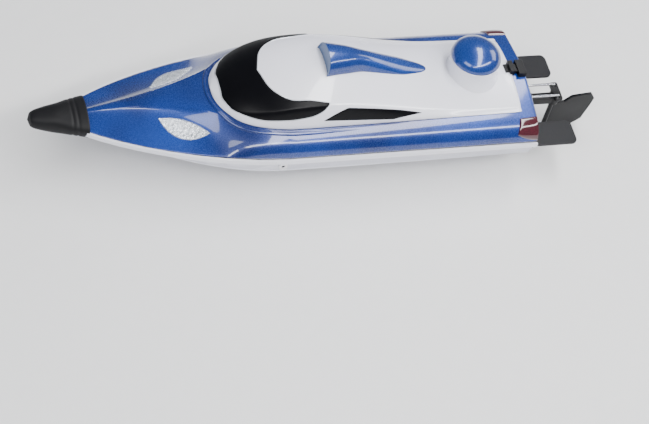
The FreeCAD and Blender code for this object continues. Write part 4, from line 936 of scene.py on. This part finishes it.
@dataclass
class Cabin:
    """Lift-off cabin: pearl shell, black glazing, roof scoop and radar dome."""

    lines: CabinLines
    wall: float = 1.5
    screen_outer: list = field(default_factory=lambda: [
        (6.0, None), (6.0, 25.2), (14.5, 24.3), (37.5, 25.0), (54.5, 26.2), (70.5, 28.6), (80.5, 33.5),
        (86.0, 38.6)])
    screen_inner: list = field(default_factory=lambda: [
        (35.0, None), (39.5, 40.9), (44.5, 40.2), (57.0, 39.3), (62.5, 39.5), (68.5, 39.8), (86.0, 38.6)])
    window: tuple = ((81.5, 23.5), (101.0, 34.5), (166.0, 22.3), (141.0, 19.4))

    def shell(self) -> bpy.types.Object:
        """The lid: stations crowded to the round front, a rounded rear edge and an end wall."""
        line = self.lines
        turn = np.linspace(0, math.pi / 2, 6)
        crowding = (1 - np.sin(np.linspace(0, 1, 170) * math.pi / 2)) ** 1.25
        body = line.front - (line.front - line.aft - 3) * crowding
        x = np.concatenate([[line.aft], line.aft + 2.5 * (1 - np.cos(turn)), body])
        grow = np.concatenate([[-2.5], -2.5 * (1 - np.sin(turn)), 0 * body])
        half = np.concatenate([np.linspace(0, 0.6, 26), np.linspace(0.6, 1, 22)[1:]])
        s = np.concatenate([-half[:0:-1], half])
        points = line.point(x[:, None], s[None, :], grow[:, None])
        y = np.abs(points[0, :, 1])
        bottom = line.deck.height_at(np.full_like(y, line.aft), y) + line.gap
        points[0, :, 2] = np.minimum(points[1, :, 2], np.where(y < 8.0, bottom + 5.6, bottom))
        piece = grid_piece("cabin_shell", Finishes.CABIN_WHITE, "lid", points)
        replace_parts(piece, "cabin_lid")
        return thicken(piece, self.wall)

    def edge_curve(self, knots: list, count: int) -> np.ndarray:
        """Half of a screen edge as stations and shares, smooth in the running length through its knots.

        Args:
            knots: Distances behind the lip, with heights over the gunwale, or None on the centreline.
            count: Points wanted.

        Returns:
            Array (count, 2) from the centreline to the tip.
        """
        distance = np.array([d for d, _ in knots])
        x = self.lines.behind(distance)
        share_across = np.array([
            0.0 if z is None else float(self.lines.share_at_height(np.array(at), np.array(z)))
            for at, (_, z) in zip(x, knots)])
        plan = self.lines.point(x, share_across)
        run = np.concatenate([[0], np.cumsum(np.linalg.norm(np.diff(plan, axis=0), axis=1))])
        at = np.linspace(0, run[-1], count)
        return np.stack([through(at, run, x), through(at, run, share_across)], -1)

    def screen(self) -> None:
        """Wrap-round windscreen, with a thin bright bevel along both edges."""
        count = 90
        edges = []
        for knots in (self.screen_outer, self.screen_inner):
            half = self.edge_curve(knots, count)
            mirror = half[:0:-1] * np.array([1.0, -1.0])
            edges.append(np.concatenate([mirror, half]))
        points = Patch(self.lines, 0.45, 0.05).points(*edges, across=33)
        piece = grid_piece("windscreen", Finishes.WINDOW_BLACK, "lid", points)
        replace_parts(piece, "windshield")
        for label, edge in zip(("lower", "upper"), edges):
            self.beading(f"windscreen_bevel_{label}", edge)

    def beading(self, name: str, edge: np.ndarray) -> bpy.types.Object:
        """Thin half-round bead along an edge curve: a circle carried along it on the surface."""
        path = self.lines.point(edge[:, 0], edge[:, 1])
        lifted = self.lines.point(edge[:, 0], edge[:, 1], 1.0)
        normal = lifted - path
        normal /= np.linalg.norm(normal, axis=1, keepdims=True)
        tangent = np.gradient(path, axis=0)
        tangent /= np.maximum(np.linalg.norm(tangent, axis=1, keepdims=True), 1e-9)
        side = np.cross(tangent, normal)
        around = np.linspace(0, 2 * math.pi, 8, endpoint=False)
        order = np.arange(len(edge))
        radius = 0.42 * np.sqrt(np.clip(np.minimum(order, order[::-1]) / 6, 0.02, 1))
        sideways = np.cos(around)[None, :, None] * side[:, None, :]
        ring = sideways + np.sin(around)[None, :, None] * normal[:, None, :]
        points = path[:, None, :] + 0.15 * normal[:, None, :] + ring * radius[:, None, None]
        return grid_piece(name, Finishes.TRIM_BRIGHT, "lid", points, wrap_columns=True)

    def side_windows(self) -> None:
        """Pointed black panes: a straight lower edge, and an upper one from the raked front to the rear."""
        front_low, front_high, rear_high, rear_low = (np.array(p) for p in self.window)
        u = np.linspace(0, 1, 70)[:, None]
        lower = front_low + (rear_low - front_low) * u
        upper = front_high + (rear_high - front_high) * u + np.array([0.0, 0.8]) * 4 * u * (1 - u)
        for side, hand in SIDES:
            edges = [np.stack([self.lines.behind(e[:, 0]),
                               side * self.lines.share_at_height(self.lines.behind(e[:, 0]), e[:, 1])], -1)
                     for e in (lower, upper)]
            points = Patch(self.lines, 0.45, 0.07).points(*edges)
            piece = grid_piece(f"side_pane_{hand}", Finishes.WINDOW_BLACK, "lid", points)
            if side > 0:
                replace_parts(piece, "side_windows")

    def roof_height(self, x: np.ndarray, y: np.ndarray) -> np.ndarray:
        """Height of the roof over a point of the plan near the centreline."""
        drop = self.lines.crown(x) * (np.abs(y) / (0.885 * self.lines.half(x))) ** 2.3
        return self.lines.deck.base + self.lines.top(x) - drop

    def scoop(self) -> None:
        """Air scoop: a superelliptic arch along the roof, waisted in plan, with a flat D-shaped face."""
        low, high = corners("roof_scoop")
        front, length, half_width = high[0], high[0] - low[0], (high[1] - low[1]) / 2
        knots = [0.0, 0.19, 0.38, 0.56, 0.7, 0.85, 0.94, 1.0]
        t = 1 - (1 - np.linspace(0, 1, 80)) ** 1.5
        breadth = through(t, knots, [1.0, 0.80, 0.60, 0.60, 0.58, 0.42, 0.26, 0.0]) * half_width
        height = 12.7
        rise = through(t, knots, [1.0, 1.0, 0.86, 0.58, 0.38, 0.2, 0.1, 0.0]) * height
        angle = np.linspace(0, math.pi, 41)
        c, s = np.cos(angle), np.sin(angle)
        x = front - t * length
        y = np.sign(c) * np.abs(c) ** 0.8 * breadth[:, None]
        lift = s ** 0.75 * rise[:, None]
        lean = 2.5 * np.exp(-t * 12)[:, None] * lift / height
        stations = np.broadcast_to(x[:, None], y.shape)
        z = self.roof_height(stations, y) - 0.6 + lift
        points = np.stack([stations - lean, y, z], -1)
        sunk = points[:, [0, -1]] - np.array([0, 0, 2.0])
        points = np.concatenate([sunk[:, :1], points, sunk[:, 1:]], 1)
        piece = grid_piece("scoop_skin", Finishes.DOME_BLUE, "lid", points)
        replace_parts(piece, "roof_scoop")
        foot = (points[0, 0] + points[0, -1]) / 2
        scales = [(1.0, 0.0), (0.985, 0.25), (0.93, 0.3), (0.90, -0.5), (0.5, -0.7), (0.0, -0.7)]
        face = np.stack([foot + (points[0] - foot) * k + np.array([out, 0, 0]) for k, out in scales])
        grid_piece("scoop_face", Finishes.SCOOP_FACE, "lid", face, wrap_columns=True)

    def dome(self) -> None:
        """Radar dome: blue cap turned on a flared white foot, profiles of radius and height spun round."""
        low, high = corners("radar_dome")
        centre = (low + high) / 2
        radius, rim, height = (high[0] - low[0]) / 2, low[2], high[2] - low[2]
        arc = np.linspace(0, math.pi / 2, 26)
        cap = np.column_stack([radius * np.cos(arc) ** 0.92, rim + height * np.sin(arc)])
        cap = np.concatenate([[(0.0, rim - 0.2), (radius - 1.5, rim - 0.2), (radius - 0.3, rim - 0.1)], cap])
        self.spin("dome_cap", Finishes.DOME_BLUE, cap, centre, "radar_dome")
        sunk = corners("radar_pedestal")[0][2]
        fall = np.linspace(0, 1, 16)
        flare = radius - 0.9 + 4.6 * fall**2.6
        foot = np.column_stack([flare, rim - 1.4 - fall * (rim - 1.4 - sunk + 1)])
        lip = [(0.0, rim - 0.25), (radius - 0.1, rim - 0.25), (radius + 0.25, rim - 0.6), (radius, rim - 1.2)]
        self.spin("dome_foot", Finishes.CABIN_WHITE, np.concatenate([lip, foot]), centre, "radar_pedestal")

    def spin(self, name: str, finish: Finishes, profile: np.ndarray, centre: np.ndarray, node: str) -> None:
        """Turn a profile of radius and height about an upright axis through centre."""
        angle = np.linspace(0, 2 * math.pi, 96, endpoint=False)
        ring = np.stack([np.cos(angle), np.sin(angle)], -1)
        plan = profile[:, None, :1] * ring + centre[:2]
        height = np.broadcast_to(profile[:, None, 1:], plan.shape[:2] + (1,))
        points = np.concatenate([plan, height], -1)
        piece = grid_piece(name, finish, "lid", points, wrap_columns=True)
        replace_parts(piece, node)

    def build(self) -> None:
        """Make the cabin and what is fixed to it."""
        self.shell()
        self.screen()
        self.side_windows()
        self.scoop()
        self.dome()


# ---- machinery and fittings ------------------------------------------------------------------------


@dataclass(frozen=True)
class Fitting:
    """How a CAD node is shown: its finish and the width of its softened edges in millimetres."""

    finish: Finishes
    bevel: float = 0.25


FITTINGS = {
    node: Fitting(Finishes[finish], bevel)
    for node, finish, bevel in (
        ("lower_hull", "HULL_WHITE", 0.0),
        ("hull_seal", "RUBBER", 0.0),
        ("hatch_seal", "RUBBER", 0.2),
        ("hatch_cover", "INNER", 0.4),
        ("hatch_knob_front", "BLACK", 0.3),
        ("hatch_knob_rear", "BLACK", 0.3),
        ("latch_housing", "BLACK", 0.35),
        ("cabin_latch", "BLACK", 0.3),
        ("stuffing_tube", "BRASS", 0.15),
        ("shaft_bushes", "BRASS", 0.0),
        ("drive_shaft", "STEEL", 0.15),
        ("propeller", "BLACK", 0.15),
        ("propeller_nut", "STEEL", 0.2),
        ("shaft_coupling", "STEEL", 0.3),
        ("motor_shaft", "STEEL", 0.1),
        ("motor_can", "MOTOR", 0.5),
        ("motor_end_cap", "BLACK", 0.4),
        ("cooling_jacket", "ALUMINIUM", 0.25),
        ("motor_mount", "ALUMINIUM", 0.3),
        ("machine_screws", "STEEL", 0.2),
        ("rudder_bracket", "BLACK", 0.35),
        ("rudder", "BLACK", 0.35),
        ("tiller", "BLACK", 0.3),
        ("servo_horn", "BLACK", 0.3),
        ("pushrod_left", "STEEL", 0.0),
        ("pushrod_right", "STEEL", 0.0),
        ("pushrod_bellows", "RUBBER", 0.15),
        ("steering_servo", "BLACK", 0.4),
        ("servo_output", "BRASS", 0.1),
        ("servo_mount", "INNER", 0.3),
        ("trim_brackets", "BLACK", 0.25),
        ("trim_pins", "STEEL", 0.1),
        ("trim_tab_left", "TAB_GREY", 0.4),
        ("trim_tab_right", "TAB_GREY", 0.4),
        ("battery_tray", "INNER", 0.3),
        ("battery_pack", "WRAP", 0.8),
        ("battery_strap", "STRAP", 0.2),
        ("equipment_shelves", "INNER", 0.2),
        ("speed_controller", "CASE", 0.4),
        ("receiver_box", "CASE", 0.4),
        ("foam_float", "FOAM", 1.0),
        ("water_outlet", "STEEL", 0.2),
        ("water_pickup", "STEEL", 0.15),
        ("water_contacts", "STEEL", 0.15),
    )
}


@dataclass
class Fittings:
    """The frame's own parts, shown as merged copies with softened edges and their finishes."""

    merge_m: float = 2e-6
    flat_degrees: float = 0.5
    sharp_degrees: float = 32
    bevelled_from_degrees: float = 40

    def show(self, node: str, fitting: Fitting) -> bpy.types.Object:
        """Copy a CAD node, merge its loose triangles, round its sharp edges and dress it.

        Args:
            node: The CAD node's name.
            fitting: How it is shown.

        Returns:
            The piece that stands for the node.
        """
        source = frame["nodes"][node]
        body = source["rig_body"]
        mesh = source.data.copy()
        work = bmesh.new()
        work.from_mesh(mesh)
        bmesh.ops.remove_doubles(work, verts=work.verts, dist=self.merge_m)
        flat = math.radians(self.flat_degrees)
        bmesh.ops.dissolve_limit(work, angle_limit=flat, verts=work.verts, edges=work.edges)
        work.to_mesh(mesh)
        work.free()
        mesh.materials.clear()
        mesh.materials.append(fitting.finish.value.material())
        mesh.shade_smooth()
        mesh.set_sharp_from_angle(angle=math.radians(self.sharp_degrees))
        piece = bpy.data.objects.new(f"{node}_piece", mesh)
        bpy.context.scene.collection.objects.link(piece)
        if fitting.bevel:
            bevel = piece.modifiers.new("edges", "BEVEL")
            bevel.width = fitting.bevel * MM
            bevel.segments = 2
            bevel.limit_method = "ANGLE"
            bevel.angle_limit = math.radians(self.bevelled_from_degrees)
            bevel.use_clamp_overlap = True
        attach(piece, body)
        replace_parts(piece, node)
        source.data.materials.clear()
        source.data.materials.append(fitting.finish.value.material())
        log.info("showed %s on %s", node, body)
        return piece

    def build(self) -> None:
        """Show every fitting in the table."""
        for node, fitting in FITTINGS.items():
            piece = self.show(node, fitting)


@dataclass
class RodThreads:
    """Threaded stretch of each pushrod: a tube whose radius winds as a sine of turn and travel."""

    pitch: float = 0.8
    depth: float = 0.16
    length: float = 17.0
    gaiter_and_travel: float = 15.8
    half_spacing: float = 6.0
    below_gunwale: float = 5.0

    def build(self) -> None:
        """Make one thread a side, round the rod's own axis."""
        transom = corners("lower_hull")[0][0]
        for sign, hand in SIDES:
            low = corners(f"pushrod_{hand}")[0]
            axis_y = sign * self.half_spacing
            axis_z = corners("hull_seal")[0][2] - self.below_gunwale
            end = transom - self.gaiter_and_travel
            x = np.linspace(max(low[0] + 3.0, end - self.length), end, 260)
            angle = np.linspace(0, 2 * math.pi, 14, endpoint=False)
            wave = np.cos(angle[None, :] - 2 * math.pi * x[:, None] / self.pitch)
            fade = np.clip(np.minimum(x - x[0], x[-1] - x) / 0.8, 0, 1)[:, None]
            radius = (1.02 + self.depth * wave) * np.minimum(1, 0.2 + fade)
            points = np.stack([np.broadcast_to(x[:, None], radius.shape), axis_y + radius * np.cos(angle),
                               axis_z + radius * np.sin(angle)], -1)
            grid_piece(f"pushrod_thread_{hand}", Finishes.STEEL, f"{hand}_rod", points, wrap_columns=True)


@dataclass
class CoolingHoses:
    """Two silicone hoses between the water jacket and the hull, each one smooth curve through its route."""

    radius: float = 2.8
    outlet: tuple = ((-2.9, 17.3, 34.6), (-2.9, 29.3, 34.6), (19.6, 34.3, 38.3), (46.6, 37.3, 42.0),
                     (46.6, 50.3, 42.0))
    inlet: tuple = ((-42.9, -14.0, 20.5), (-42.9, -14.0, 31.0), (-37.7, -30.0, 34.0), (-24.7, -32.0, 35.2),
                    (-16.8, -29.3, 33.2), (-16.8, -17.3, 33.2))

    def hose(self, name: str, node: str, route: tuple) -> None:
        curve = bpy.data.curves.new(name, "CURVE")
        curve.dimensions = "3D"
        spline = curve.splines.new("NURBS")
        spline.points.add(len(route) - 1)
        flat = np.column_stack([np.array(route) * MM, np.ones(len(route))]).ravel()
        spline.points.foreach_set("co", flat)
        spline.order_u = 3
        spline.use_endpoint_u = True
        spline.resolution_u = 12
        curve.bevel_depth = self.radius * MM
        curve.bevel_resolution = 4
        curve.use_fill_caps = True
        curve.materials.append(Finishes.SILICONE.value.material())
        piece = bpy.data.objects.new(name, curve)
        bpy.context.scene.collection.objects.link(piece)
        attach(piece, "hull")
        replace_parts(piece, node)
        length = spline.calc_length()
        log.info("made %s, %.0f mm long", name, length / MM)

    def build(self) -> None:
        """Make both hoses."""
        self.hose("hose_to_outlet", "cooling_hose_out", self.outlet)
        self.hose("hose_from_pickup", "cooling_hose_in", self.inlet)


# ---- stage -----------------------------------------------------------------------------------------


@dataclass(frozen=True)
class Viewpoint:
    """Camera: it looks at a target from a bearing and an elevation, rolled about its own axis."""

    target: tuple = (0.0240, 0.1038, 0.040)
    bearing: float = 62.08
    elevation: float = 49.58
    roll: float = 17.58
    distance: float = 1.919
    lens: float = 137.6

    def place(self) -> bpy.types.Object:
        """Make the camera and set it as the scene's."""
        turn, tilt = math.radians(self.bearing), math.radians(self.elevation)
        back = Vector((math.cos(turn) * math.cos(tilt), math.sin(turn) * math.cos(tilt), math.sin(tilt)))
        data = bpy.data.cameras.new("camera")
        data.lens, data.sensor_width = self.lens, 36.0
        data.clip_start, data.clip_end = 0.05, 20.0
        camera = bpy.data.objects.new("camera", data)
        camera.rotation_mode = "QUATERNION"
        camera.location = Vector(self.target) + back * self.distance
        roll = Quaternion((0, 0, 1), math.radians(self.roll))
        camera.rotation_quaternion = back.to_track_quat("Z", "Y") @ roll
        bpy.context.scene.collection.objects.link(camera)
        bpy.context.scene.camera = camera
        return camera


@dataclass
class Studio:
    """Pale floor and soft lights."""

    floor_half: float = 6000.0
    floor_level: float = -0.2
    sky: tuple = (0.78, 0.82, 0.9, 1.0)
    sky_strength: float = 0.42

    def light(self, name: str, place: tuple, size: tuple, power: float) -> None:
        """Rectangular soft light that faces the boat."""
        data = bpy.data.lights.new(name, "AREA")
        data.shape = "RECTANGLE"
        data.size, data.size_y = size
        data.energy = power
        lamp = bpy.data.objects.new(name, data)
        lamp.location = place
        lamp.rotation_mode = "QUATERNION"
        lamp.rotation_quaternion = Vector(place).to_track_quat("Z", "Y")
        bpy.context.scene.collection.objects.link(lamp)

    def build(self) -> None:
        """Make floor, world and lights."""
        reach = np.linspace(-self.floor_half, self.floor_half, 3)
        x, y = np.meshgrid(reach, reach)
        points = np.stack([x, y, np.full_like(x, self.floor_level)], -1).reshape(-1, 3)
        mesh_piece("floor", Finishes.FLOOR, "hull", points, grid_faces(3, 3))
        world = bpy.data.worlds.new("studio")
        world.use_nodes = True
        background = world.node_tree.nodes["Background"]
        background.inputs["Color"].default_value = self.sky
        background.inputs["Strength"].default_value = self.sky_strength
        bpy.context.scene.world = world
        self.light("overhead_strip", (-0.45, 0.12, 1.5), (2.4, 0.3), 36.0)
        self.light("shoulder_strip", (-0.45, 0.85, 1.2), (2.2, 0.14), 20.0)
        self.light("front_port", (0.9, 0.7, 1.1), (0.8, 0.5), 8.0)
        self.light("stern", (-1.2, -0.3, 0.7), (0.7, 0.4), 5.0)


def main() -> None:
    """Build every sub-assembly in order."""
    logging.basicConfig(level=logging.INFO, format="%(name)s: %(message)s")
    Viewpoint().place()
    Studio().build()
    CoolingHoses().build()
    deck = DeckLines()
    cabin = CabinLines(deck)
    assemblies = (DeckSkin(deck, cabin), Lamps(deck), BowBumper(deck), SprayRails(deck), Cabin(cabin),
                  RodThreads(), Fittings())
    for assembly in assemblies:
        assembly.build()


if __name__ == "__main__":
    main()
